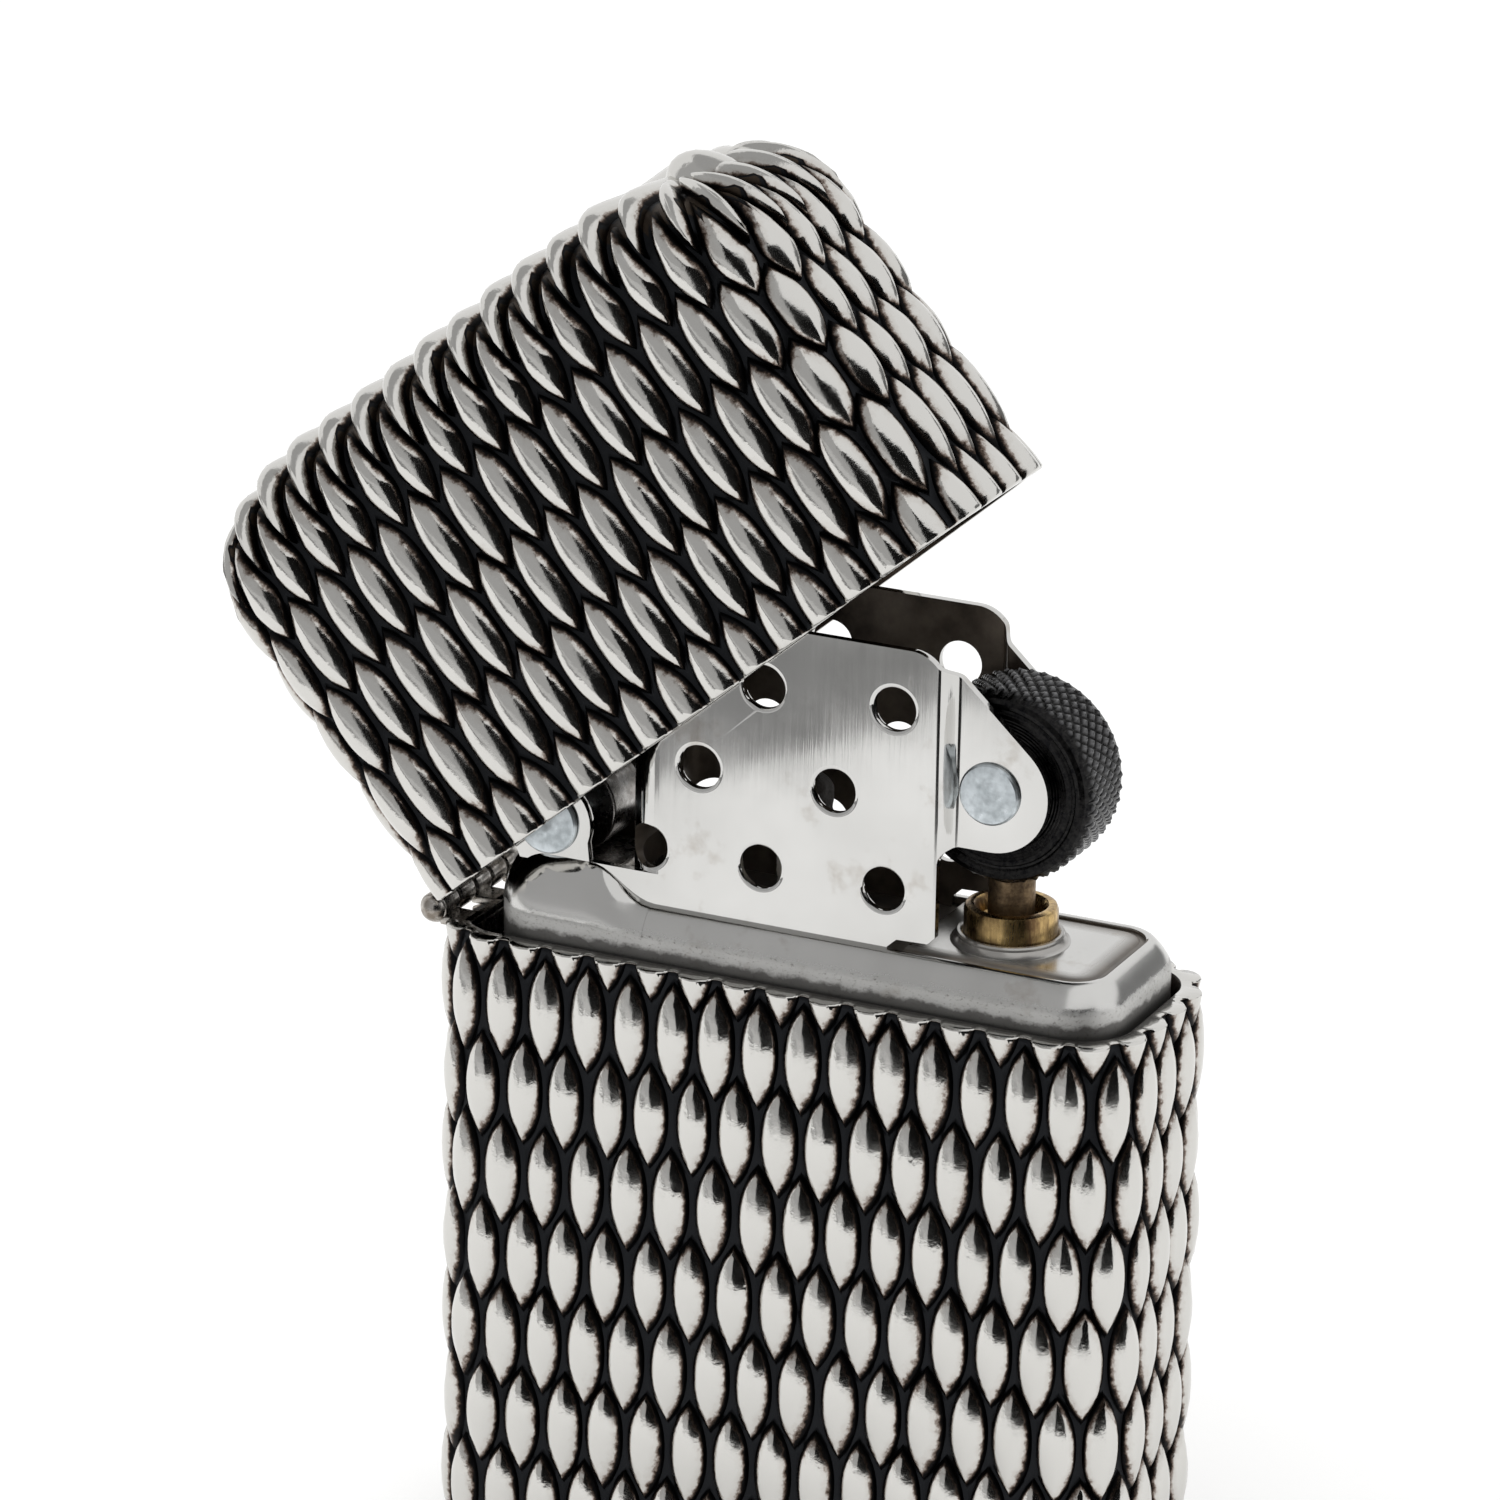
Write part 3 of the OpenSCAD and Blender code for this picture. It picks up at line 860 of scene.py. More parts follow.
def make_skirt():
    """The smooth slope that rises from the can's hinge end into the foot of the chimney."""
    stations = [(CAN_MID_X + CAN_R - CAN_W / 2 + d, 2.5, 90.0) for d in np.linspace(6.0, 0.4, 15)]
    stations += [(CAN_MID_X - CAN_HX, CAN_HY, a) for a in np.linspace(90, 180, 14)]
    stations += [(x, -y, 360 - a) for x, y, a in stations[::-1]]
    v = np.linspace(0, 1, SKIRT_STEPS + 1)
    inset, drop = (np.interp(v, np.linspace(0, 1, len(CAN_EDGE)), column) for column in zip(*CAN_EDGE))
    slope_in = (CAN_ROUND + 0.03) * v * v
    points = []
    for cx, cy, angle in stations:
        a = math.radians(angle)
        w = ease(between(cx, SKIRT_END - SKIRT_BLEND, SKIRT_END))
        r = CAN_R + SKIRT_PROUD - (slope_in * (1 - w) + inset * w)
        z = CAN_TOP - (CAN_ROUND - SKIRT_H * v) * (1 - w) - drop * w
        r, z = np.concatenate([r, r[::-1] - SKIRT_T]), np.concatenate([z, z[::-1]])
        points.extend(zip(cx + r * math.cos(a), cy + r * math.sin(a), z))
    faces = capped_faces(len(stations), 2 * len(v))
    return smooth(object_from("skirt", bmesh_of(points, faces)), 50)


def sheet_wall(path, low, high):
    """An upright sheet of the insert's steel along a path of outer points, inside it. In the
    tight bends at the wheel end the inner side is the outer side moved straight inwards."""
    p = np.array(path, float)
    seg = np.diff(p, axis=0)
    seg /= np.linalg.norm(seg, axis=1)[:, None]
    offset = []
    for i in range(len(p)):
        before, after = seg[max(i - 1, 0)], seg[min(i, len(seg) - 1)]
        mid = before + after
        mid /= np.linalg.norm(mid)
        normal = np.array([-mid[1], mid[0]]) / max(0.5, abs(mid @ before))
        if p[i][0] > CHIMNEY_X1 - 0.5:
            normal = np.array([0, -np.sign(p[i][1])])
        offset.append(normal * STEEL_T)
    outline = np.concatenate([p, (p + offset)[::-1]])
    return prism([tuple(q) for q in outline], low, high)


def tangent_point(p, c, r):
    """Where the tangent from p touches the circle round c on its far side."""
    v = (c[0] - p[0], c[1] - p[1])
    far = math.hypot(*v)
    a = math.atan2(v[1], v[0]) + math.asin(r / far)
    reach = math.sqrt(far * far - r * r)
    return p[0] + reach * math.cos(a), p[1] + reach * math.sin(a)


def wall_outline():
    """Outline in X and Z of the insert's wall: plinth, chimney and wheel ear in one piece."""
    axle = (AXLE[0], AXLE[2])
    round_mid = (CHIMNEY_X1 - SHOULDER_ROUND + 0.35, CHIMNEY_TOP - SHOULDER_ROUND)
    shoulder = arc(*round_mid, SHOULDER_ROUND, 42, 90, 8)
    touch = tangent_point(shoulder[0], axle, EAR_R)
    touch_angle = math.degrees(math.atan2(touch[1] - axle[1], touch[0] - axle[0]))
    points = [(WALL_START, CAN_TOP - 0.8), (5.5, CAN_TOP - 0.8), (5.6, CAN_TOP + 0.1),
              (6.1, CAN_TOP + 0.55), (CHIMNEY_X1 - 0.3, CAN_TOP + 0.6),
              (CHIMNEY_X1 + 0.05, CAN_TOP + 0.95)]
    points += arc(CHIMNEY_X1 + 0.75, EAR_LOW - 0.7, 0.7, 180, 90, 6)
    points += arc(axle[0], axle[1], EAR_R, -90, touch_angle, 24)
    points += shoulder
    points += [(CHIMNEY_X0 + CHIMNEY_END_R, CHIMNEY_TOP), (CHIMNEY_X0 + CHIMNEY_END_R, PLINTH_TOP),
               (WALL_START, PLINTH_TOP)]
    return points


def make_walls():
    """Plinth, chimney, wheel ears and cam ears: one bent sheet with its air holes."""
    end_r = CAN_R - CAN_ROUND - 0.03
    half = [(EAR_END, EAR_Y)]
    for share in np.linspace(1, 0, 10):
        half.append((CHIMNEY_X1 - 0.1 + BEND_RUN * share, WALL_Y + (EAR_Y - WALL_Y) * ease(share)))
    end = arc(CAN_MID_X - CAN_HX, CAN_HY, end_r, 90, 180, 12)
    path = half + [(CHIMNEY_X0 + CHIMNEY_END_R, WALL_Y)] + end
    path += [(x, -y) for x, y in path[::-1]]
    o = sheet_wall(path, CAN_TOP - 0.6, CHIMNEY_TOP)
    carve(o, prism(wall_outline(), -CLEAR, CLEAR, "Y"), "INTERSECT")
    cap_x = CHIMNEY_X0 + CHIMNEY_END_R
    cap = [(cap_x, WALL_Y)] + arc(cap_x, WALL_Y - CHIMNEY_END_R, CHIMNEY_END_R, 90, 180, 12)[1:]
    cap += [(x, -y) for x, y in cap[::-1]]
    carve(o, sheet_wall(cap, PLINTH_TOP - 0.6, CHIMNEY_TOP), "UNION")
    for side in (-1, 1):
        y0, y1 = sorted((side * WALL_Y, side * (WALL_Y - STEEL_T)))
        ear = arc(CAM[0], CAM[2], CAM_EAR_R, 200, -20, 22)
        ear += [(CAM[0] + CAM_EAR_R, PLINTH_TOP - 0.4), (CAM[0] - 1.6, PLINTH_TOP - 0.4)]
        carve(o, prism(ear, y0, y1, "Y"), "UNION")
    wide, face = AIR_R + AIR_DISH, WALL_Y - 0.07
    flank = [(AIR_R, face), (wide, WALL_Y), (wide, CLEAR), (0, CLEAR)]
    dished = [(r, -y) for r, y in flank[::-1]] + flank
    for z, row in AIR_ROWS:
        for x in row:
            carve(o, shift(along_y(lathe(dished, 40)), (x, 0, RIM_Z + z)))
    bore(o, AXLE, AXLE_BORE, CLEAR)
    bore(o, CAM, CAM_BORE, CLEAR)
    return soften(o, 0.09, 2)


def store_soot(o):
    """Marks the insert's faces that look inwards, below or between its walls."""
    polygons = o.data.polygons
    x, y, z = np.array([p.center for p in polygons], float).T / MM
    normals = np.array([p.normal for p in polygons], float)
    inwards = (normals[:, 1] * np.sign(y) < -0.3) | (normals[:, 0] * np.sign(x - CAN_MID_X) < -0.3)
    deep = (np.abs(y) < WALL_Y - STEEL_T * 0.6) | (z < CAN_TOP - 0.1)
    store(o, "soot", inwards & deep, "FACE")


def make_insert(material):
    """The insert's shell: can, slope and walls, sooty inside."""
    o = join("insert", [make_can(), make_skirt(), make_walls()])
    finish_piece(o, "insert_body", "case", "insert_shell", material)
    store_soot(o)


def make_top_plate(material):
    """The plate in the can's top: a raised pad at the wheel end and a collar round the tube."""
    ring = can_ring()
    base = ring_solid(ring, [(LIP_R + 0.3, CAN_TOP - 0.95), (LIP_R + 0.3, CAN_TOP - 0.5)], closed=False)
    top = CAN_TOP - 0.08
    pad_profile = [(0, top - 0.52), (0, top - 0.16), (0.3, top - 0.12), (0.4, top - 0.03), (0.5, top),
                   (0.95, top), (1.4, top)]
    pad = ring_solid(ring, [(LIP_R - inset, z) for inset, z in pad_profile], closed=False)
    carve(pad, block((-20, -8, CAN_TOP - 2), (6.3, 8, CAN_TOP + 1)))
    collar = lathe([(2.42, top - 0.5), (3.1, top - 0.5), (3.06, top + 0.02), (2.86, top + 0.12),
                    (2.72, top + 0.3), (2.76, top + 0.44), (2.7, top + 0.53), (2.56, top + 0.55),
                    (2.42, top + 0.45)], 64, closed=True)
    o = smooth(join("plate", [smooth(base), smooth(pad), smooth(under_wheel(collar))]), 30)
    x, y = coordinates(o).T[:2]
    out = np.hypot(np.maximum(np.abs(x - CAN_MID_X) - CAN_HX, 0), np.maximum(np.abs(y) - CAN_HY, 0))
    seam = np.clip((out - LIP_R + 1.3) / 0.9, 0, 1) * 0.85
    foot = np.clip((3.2 - np.hypot(x - AXLE[0], y)) / 0.3, 0, 1) * 0.45
    store(o, "soot", np.maximum(seam, foot))
    finish_piece(o, "can_top_plate", "case", "top_plate", material)


# ---- Flint parts ----

TUBE_R = 2.4
BORE_R = 1.28
FLINT_R = 1.2


def make_tube(material):
    """The turned brass tube that guides the flint, with its thick rounded mouth."""
    low, high = tube_low[2], tube_high[2] - 0.5
    profile = [(BORE_R, low), (TUBE_R - 0.15, low), (TUBE_R, low + 0.15), (TUBE_R, high - 1.75),
               (TUBE_R - 0.07, high - 1.68), (TUBE_R - 0.07, high - 1.6), (TUBE_R, high - 1.53),
               (TUBE_R, high - 0.3), (TUBE_R - 0.09, high - 0.08), (TUBE_R - 0.3, high),
               (BORE_R + 0.62, high - 0.03), (BORE_R + 0.5, high - 0.15), (BORE_R + 0.3, high - 0.8),
               (BORE_R, high - 1.0)]
    o = under_wheel(lathe(profile, 72, closed=True))
    finish_piece(smooth(o, 30), "brass_flint_tube", "case", "flint_tube", material)


def make_flint(material, brass):
    """The flint, worn hollow by the wheel, and the brass slug under it."""
    low, high = (c[2] for c in box("flint"))
    rings, segments = 5, 40
    points = [(FLINT_R * math.cos(a), FLINT_R * math.sin(a), low) for a in circle(segments)]
    for i in range(rings):
        r = FLINT_R * (1 - i / rings)
        for a in circle(segments):
            x = r * math.cos(a)
            points.append((x, r * math.sin(a), high - 0.12 + 0.1 * (x / FLINT_R) ** 2))
    o = under_wheel(object_from("flint", bmesh_of(points, capped_faces(rings + 1, segments))))
    soften(o, 0.05, 2, 50)
    finish_piece(smooth(o, 40), "worn_flint", "flint_stack", "flint", material)
    low, high = (c[2] for c in box("spring_tip"))
    slug = [(0, low), (0.4, low), (0.55, low + 0.15), (0.55, low + 2), (1.1, low + 2),
            (FLINT_R, low + 2.1), (FLINT_R, high - 0.1), (1.1, high), (0, high)]
    o = under_wheel(lathe(slug, 40))
    finish_piece(smooth(o), "spring_slug", "flint_stack", "spring_tip", brass)


def make_spring(material):
    """The flint's coil spring: round wire, with closed turns at both ends."""
    low, high = (c[2] for c in box("flint_spring"))
    wire, coil_r, turns, sides, per_turn = 0.19, 0.94, 26, 8, 20
    low, high = low + wire, high - wire
    n = turns * per_turn
    closed = 1.5 / turns
    points = []
    for i in range(n + 1):
        a = 2 * math.pi * i / per_turn
        z = np.interp(i / n, [0, closed, 1 - closed, 1], [low, low + 0.6, high - 0.6, high])
        for b in circle(sides):
            r = coil_r + wire * math.cos(b)
            points.append((AXLE[0] + r * math.cos(a), r * math.sin(a), z + wire * math.sin(b)))
    o = smooth(object_from("spring", bmesh_of(points, capped_faces(n + 1, sides))), 50)
    finish_piece(o, "flint_coil_spring", "case", "flint_spring", material)
    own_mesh(o)


def make_screw(material):
    """The slotted brass screw that holds the spring in from below."""
    low, high = (c[2] for c in box("flint_screw"))
    head_top = tube_low[2] - 0.1
    shank = BORE_R - 0.02
    profile = [(0, low), (2.75, low), (3.0, low + 0.25), (3.0, head_top - 0.15), (2.85, head_top),
               (shank - 0.12, head_top)]
    for z in np.arange(head_top + 0.5, high - 0.5, 0.4):
        profile += [(shank - 0.12, z), (shank, z + 0.14), (shank, z + 0.2), (shank - 0.12, z + 0.34)]
    profile += [(shank - 0.12, high - 0.2), (shank - 0.4, high), (0, high)]
    o = under_wheel(lathe(profile, 48))
    carve(o, block((AXLE[0] - 4, -0.4, low - 1), (AXLE[0] + 4, 0.4, low + 0.5)))
    finish_piece(smooth(o, 30), "slotted_screw", "case", "flint_screw", material)


# ---- Wheel, rivets and cam ----

WHEEL_R = 5.1
WHEEL_W = 4.8
TREAD_W = 3.5
KNURL_DEEP = 0.17
KNURL_COUNT = 46
RIVET_HEAD_T = 0.28
CAM_R = 2.5
CAM_HALF_W = 1.6
HORN = (-17.1, RIM_Z + 8.2)
LEAF_SPRING_T = 0.35


def make_wheel(material):
    """The flint wheel: a diamond knurled tread between bevels, and turned faces."""
    around, across = KNURL_COUNT * 8, 32
    half = WHEEL_W / 2
    face = [(0.83, -half + 0.3), (1.9, -half + 0.3), (2.0, -half + 0.05), (2.2, -half)]
    for r in np.arange(2.3, 3.9, 0.16):
        face += [(r, -half), (r + 0.05, -half + 0.035)]
    face += [(4.0, -half + 0.02), (4.08, -half + 0.12), (4.2, -half + 0.14), (4.3, -half + 0.05),
             (4.5, -half + 0.03), (4.75, -half + 0.12), (4.88, -half + 0.32)]
    tread = [(WHEEL_R, y) for y in np.linspace(-TREAD_W / 2, TREAD_W / 2, across + 1)]
    profile = face + tread + [(r, -y) for r, y in face[::-1]]
    angles = circle(around)
    u = angles * KNURL_COUNT / (2 * math.pi)
    first, last = len(face), len(face) + across
    points, height = [], []
    for i, (r, y) in enumerate(profile):
        v = y / (2 * math.pi * WHEEL_R / KNURL_COUNT) * 0.75
        ridge = np.maximum(np.abs((u + v) % 1 - 0.5), np.abs((u - v) % 1 - 0.5)) * 2
        share = np.clip((ridge - 0.35) / 0.65, 0, 1)
        on_tread = first <= i <= last
        height.append((1 - share) * on_tread)
        cut_r = r - KNURL_DEEP * share * on_tread
        points.append(np.stack([cut_r * np.cos(angles), cut_r * np.sin(angles), np.full(around, y)], -1))
    faces = grid_faces(len(profile), around, wrap=True)
    o = shift(along_y(object_from("wheel", bmesh_of(np.concatenate(points), faces))), AXLE)
    store(o, "tips", np.concatenate(height))
    finish_piece(smooth(o, 24), "knurled_wheel", "wheel", "flint_wheel", material)


def rivet(place, shank_r, reach, head_r):
    """A rivet along Y whose heads are slightly domed, with a turned dimple."""
    head = [(0, 0.03), (0.3, 0.0), (0.42, 0.025), (0.6, 0.0), (head_r * 0.55, 0.01), (head_r * 0.8, 0.0),
            (head_r - 0.12, -0.02), (head_r - 0.02, -0.1), (head_r, -0.2), (head_r, -RIVET_HEAD_T)]
    upper = [(r, reach + RIVET_HEAD_T + z) for r, z in head]
    profile = upper + [(shank_r, reach)] + [(shank_r, -reach)] + [(r, -z) for r, z in upper[::-1]]
    return shift(along_y(lathe(profile, 56)), place)


def make_rivets(material):
    """The wheel's axle and the cam's."""
    o = rivet(AXLE, shank_r=0.8, reach=EAR_Y + 0.03, head_r=1.62)
    finish_piece(smooth(o, 30), "axle_rivet", "case", "wheel_rivet", material)
    o = rivet(CAM, shank_r=0.9, reach=4.32, head_r=1.7)
    finish_piece(smooth(o, 30), "pivot_rivet", "case", "cam_rivet", material)


def make_cam(material):
    """The cam that snaps the lid open and shut, and the leaf spring under it."""
    outline = arc(CAM[0], CAM[2], CAM_R, -160, 88, 40)
    outline += [HORN, (HORN[0] - 0.12, HORN[1] - 0.5), (HORN[0], HORN[1] - 1)]
    o = prism(outline, -CAM_HALF_W, CAM_HALF_W, "Y")
    bore(o, CAM, CAM_BORE, CLEAR / 2)
    finish_piece(soften(o, 0.12, 2), "snap_cam", "cam", "cam", material)
    low, high = box("cam_spring")
    t = LEAF_SPRING_T
    arm_z = high[2]
    bend = arc(high[0] - 0.6, arm_z - 0.6, 0.6, 0, 90, 6)
    inner = arc(high[0] - 0.6, arm_z - 0.6, 0.6 - t, 90, 0, 6)
    outline = [(high[0], low[2])] + bend + [(low[0] + 0.2, arm_z), (low[0], arm_z - t / 2)]
    outline += [(low[0] + 0.2, arm_z - t)] + inner + [(high[0] - t, low[2])]
    o = prism(outline, low[1], high[1], "Y")
    finish_piece(soften(o, 0.08, 2), "cam_leaf_spring", "case", "cam_spring", material)


# ---- Fuel parts ----

BRAID_PITCH = 5.0
BRAID_DEEP = 0.08
FRAYED_FROM = 0.97


def make_wick(material):
    """The braided wick: strands that cross each other, and a frayed, rounded end."""
    (x_low, _, low), (x_high, _, high) = box("wick")
    r = (x_high - x_low) / 2 - 0.06
    x = (x_low + x_high) / 2
    around, along = 48, 220
    angles = circle(around)
    points = []
    for i in range(along + 1):
        z = low + (high - low) * i / along
        twist = 2 * math.pi * z / BRAID_PITCH
        strands = np.maximum(np.cos(5 * angles + 3 * twist), np.cos(5 * angles - 3 * twist))
        end = min(1, math.sqrt(1 - between(i / along, FRAYED_FROM, 1) ** 2) + 0.02)
        braid_r = r * (1 - BRAID_DEEP + BRAID_DEEP * strands) * end
        points.append(np.stack([x + braid_r * np.cos(angles), braid_r * np.sin(angles),
                                np.full(around, z)], -1))
    o = new_object("wick", np.concatenate(points), capped_faces(along + 1, around))
    finish_piece(smooth(o, 60), "braided_wick", "case", "wick", material)


def lumpy(o, centre, amount, scale):
    """Pushes vertices in and out by smooth noise, never past where they were."""
    for v in o.data.vertices:
        d = v.co - Vector(centre) * MM
        v.co -= d * amount * (0.5 + 0.5 * noise.noise(v.co / MM * scale))
    return o


# X of a column of balls, their radius and number, and the height of the first one's middle
BALL_COLUMNS = [(-11.2, 4.6, 3, 10.4), (4.2, 3.4, 4, 9.2)]
BALL_GAP = 0.1


def make_packing(material):
    """The cotton balls that hold the fuel, each pressed and lumpy."""
    parts = []
    for x, r, count, first in BALL_COLUMNS:
        for i in range(count):
            bm = bmesh.new()
            bmesh.ops.create_icosphere(bm, subdivisions=5, radius=r)
            centre = (x, 0, first + i * (2 * r + BALL_GAP))
            bmesh.ops.translate(bm, verts=bm.verts, vec=centre)
            parts.append(lumpy(object_from("ball", bm), centre, amount=0.14, scale=0.75))
    o = join("balls", parts)
    finish_piece(smooth(o, 80), "cotton_balls", "case", "packing_balls", material)


def make_felt(material):
    """The felt pad: a crowned slab with soft edges and a hole for the tube."""
    low, high = box("felt_pad")
    edge = CAN_R - STEEL_T - 0.1
    z0, z1 = low[2], high[2]
    profile = [(edge - 0.3, z0 + 0.03), (edge - 0.1, z0 + 0.12), (edge, z0 + 0.5), (edge, z1 - 0.6),
               (edge - 0.12, z1 - 0.25), (edge - 0.4, z1 - 0.08), (edge - 1.0, z1)]
    o = ring_solid(can_ring(), profile, closed=False)
    carve(o, under_wheel(rod(TUBE_R + 0.15, z0 - 1, z1 + 1, 48)))
    finish_piece(smooth(o, 45), "felt_slab", "case", "felt_pad", material)


# ---- Finishes ----

WORN_TOP = 1.35
FOOT_TOP = 0.525


class Graph:
    """A material's nodes, added by short calls. Texture scales are per millimetre."""

    def __init__(self, name):
        self.material = bpy.data.materials.new(name)
        self.material.use_nodes = True
        self.tree = self.material.node_tree
        self.tree.nodes.clear()
        output = self.tree.nodes.new("ShaderNodeOutputMaterial")
        self.shader = self.tree.nodes.new("ShaderNodeBsdfPrincipled")
        self.tree.links.new(self.shader.outputs[0], output.inputs[0])
        self.place = self.tree.nodes.new("ShaderNodeTexCoord").outputs["Object"]

    def node(self, kind, inputs, output=0, **settings):
        """Adds a node and returns one of its outputs."""
        n = self.tree.nodes.new("ShaderNode" + kind)
        for key, value in settings.items():
            setattr(n, key, value)
        for key, value in inputs.items():
            self.feed(n.inputs[key], value)
        return n.outputs[output]

    def feed(self, socket, value):
        """Links a socket to another node's output, or sets its value."""
        if isinstance(value, bpy.types.NodeSocket):
            self.tree.links.new(value, socket)
        else:
            socket.default_value = value

    def set(self, **values):
        """Sets or links the shader's sockets, named as in Base_Color."""
        for key, value in values.items():
            self.feed(self.shader.inputs[key.replace("_", " ")], value)
        return self.material

    def scaled(self, scale, stretch):
        """The object's coordinates times a scale, longer along the stretched axes."""
        size = [scale / MM / s for s in stretch]
        return self.node("Mapping", {"Vector": self.place, "Scale": size})

    def noise(self, scale, detail=4.0, roughness=0.55, stretch=(1, 1, 1)):
        return self.node("TexNoise", {"Vector": self.scaled(scale, stretch), "Scale": 1.0,
                                      "Detail": detail, "Roughness": roughness})

    def cells(self, scale, stretch=(1, 1, 1)):
        return self.node("TexVoronoi", {"Vector": self.scaled(scale, stretch), "Scale": 1.0})

    def attribute(self, name):
        return self.node("Attribute", {}, "Fac", attribute_name=name)

    def add(self, a, b):
        return self.node("Math", {0: a, 1: b}, operation="ADD")

    def times(self, a, b):
        return self.node("Math", {0: a, 1: b}, operation="MULTIPLY")

    def height(self):
        """The place's Z, in metres."""
        return self.node("SeparateXYZ", {"Vector": self.place}, "Z")

    def remap(self, value, low, high, to_low=0.0, to_high=1.0):
        return self.node("MapRange", {"Value": value, "From Min": low, "From Max": high,
                                      "To Min": to_low, "To Max": to_high})

    def sway(self, value, amount):
        """A noise moved to swing evenly about zero."""
        centred = self.node("Math", {0: value, 1: 0.5}, operation="SUBTRACT")
        return self.times(centred, amount)

    def below(self, z, level, blur, scale, wander):
        """1 where z is under a level and 0 over it, with a ragged border; in millimetres."""
        ragged = self.add(z, self.sway(self.noise(scale, 5, 0.7), wander * MM))
        return self.remap(ragged, (level + blur) * MM, (level - blur) * MM)

    def ramp(self, value, stops):
        """Colours at places along a value from 0 to 1."""
        n = self.tree.nodes.new("ShaderNodeValToRGB")
        while len(n.color_ramp.elements) < len(stops):
            n.color_ramp.elements.new(0.5)
        for element, (at, colour) in zip(n.color_ramp.elements, stops):
            element.position = at
            element.color = (*colour, 1)
        self.feed(n.inputs[0], value)
        return n.outputs[0]

    def mix(self, share, a, b):
        """Colour a where share is 0 and b where it is 1."""
        n = self.tree.nodes.new("ShaderNodeMix")
        n.data_type = "RGBA"
        pad = lambda c: (*c, 1) if isinstance(c, tuple) else c
        self.feed(n.inputs[0], share)
        self.feed(n.inputs[6], pad(a))
        self.feed(n.inputs[7], pad(b))
        return n.outputs[2]

    def bump(self, height, depth):
        """A normal that follows a height; depth is in millimetres."""
        return self.node("Bump", {"Height": height, "Distance": depth * MM, "Strength": 1.0})


def silver_finish():
    """Cast silver, polished on its crests and blackened where the polish never reached."""
    g = Graph("antiqued_silver")
    relief = g.attribute("relief")
    ragged = g.add(g.sway(g.noise(0.3, 3), 0.45), g.sway(g.noise(2.4, 6, 0.72), 0.6))
    level = g.add(relief, g.times(ragged, g.remap(relief, 0.0, 0.3)))
    colour = g.ramp(level, [
        (0.0, (0.017, 0.018, 0.020)), (0.12, (0.008, 0.008, 0.009)), (0.3, (0.011, 0.010, 0.010)),
        (0.38, (0.06, 0.042, 0.032)), (0.46, (0.24, 0.20, 0.175)), (0.55, (0.56, 0.54, 0.51)),
        (0.75, (0.62, 0.61, 0.585))])
    soot = g.remap(relief, -0.5, -0.3)
    dark = g.ramp(g.noise(0.25, 5), [(0.3, (0.016, 0.011, 0.008)), (0.7, (0.085, 0.066, 0.05))])
    polish = g.remap(level, 0.3, 0.5)
    smudge = g.remap(g.noise(0.5, 5, 0.6), 0.35, 0.75, 0.07, 0.22)
    roughness = g.add(g.times(polish, smudge),
                       g.remap(polish, 0.0, 1.0, 0.42, 0.0))
    pits = g.remap(g.cells(1.3), 0.0, 0.22)
    height = g.add(g.times(pits, 0.5), g.noise(3.0, 4, 0.6))
    return g.set(Base_Color=g.mix(soot, dark, colour), Metallic=1.0, Roughness=roughness,
                 Normal=g.bump(height, 0.012))


def steel_finish():
    """Polished sheet steel: fine upright brushing, brown tarnish, and soot inside."""
    g = Graph("insert_steel")
    brushed = g.noise(3.0, 3, 0.5, stretch=(1, 1, 20))
    blotch = g.noise(0.28, 5, 0.6)
    tarnish = g.remap(g.add(blotch, g.sway(g.noise(1.5, 4), 0.3)), 0.6, 0.9)
    bright = g.ramp(g.noise(0.12, 3), [(0.3, (0.55, 0.545, 0.53)), (0.7, (0.65, 0.645, 0.63))])
    clean = g.mix(g.times(tarnish, 0.75), bright, (0.30, 0.245, 0.19))
    soot = g.attribute("soot")
    dark = g.ramp(blotch, [(0.3, (0.03, 0.022, 0.017)), (0.7, (0.20, 0.165, 0.13))])
    z = g.height()
    worn = g.below(z, RIM_Z + WORN_TOP, 0.1, 1.2, 0.9)
    grit = g.remap(g.noise(6.0, 8, 0.8, stretch=(1.6, 1, 1)), 0.54, 0.64)
    foot = g.below(z, RIM_Z + FOOT_TOP, 0.125, 0.8, 1.1)
    clean = g.mix(g.times(worn, g.times(grit, 0.7)), clean, (0.12, 0.10, 0.085))
    clean = g.mix(g.times(foot, 0.8), clean, (0.10, 0.095, 0.09))
    roughness = g.add(g.remap(blotch, 0.3, 0.7, 0.05, 0.1), g.sway(brushed, 0.04))
    roughness = g.add(roughness, g.times(worn, 0.3))
    scratches = g.remap(g.noise(9.0, 2, 0.5, stretch=(1, 1, 30)), 0.4, 0.6)
    roughness = g.add(roughness, g.times(soot, 0.25))
    rubbed = g.remap(z, (CAN_TOP + 0.2) * MM, (CAN_TOP - 0.15) * MM, 0.0, 0.15)
    roughness = g.add(roughness, rubbed)
    return g.set(Base_Color=g.mix(soot, clean, dark), Metallic=g.remap(soot, 0.0, 1.0, 1.0, 0.45),
                 Roughness=roughness, Normal=g.bump(scratches, 0.0003))


def metal_finish(name, light, dark, low_rough, high_rough, grain=2.0, stretch=(1, 1, 1), depth=0.004,
                 patch=0.6):
    """A worn metal: two tones in soft patches, and grain in its gloss and surface."""
    g = Graph(name)
    tone = g.add(g.noise(patch, 4), g.sway(g.noise(grain, 4, 0.6, stretch), 0.5))
    colour = g.mix(g.remap(tone, 0.35, 0.65), light, dark)
    roughness = g.remap(g.noise(grain, 5, 0.65, stretch), 0.3, 0.7, low_rough, high_rough)
    height = g.noise(grain * 2, 3, 0.6, stretch)
    return g.set(Base_Color=colour, Metallic=1.0, Roughness=roughness, Normal=g.bump(height, depth))


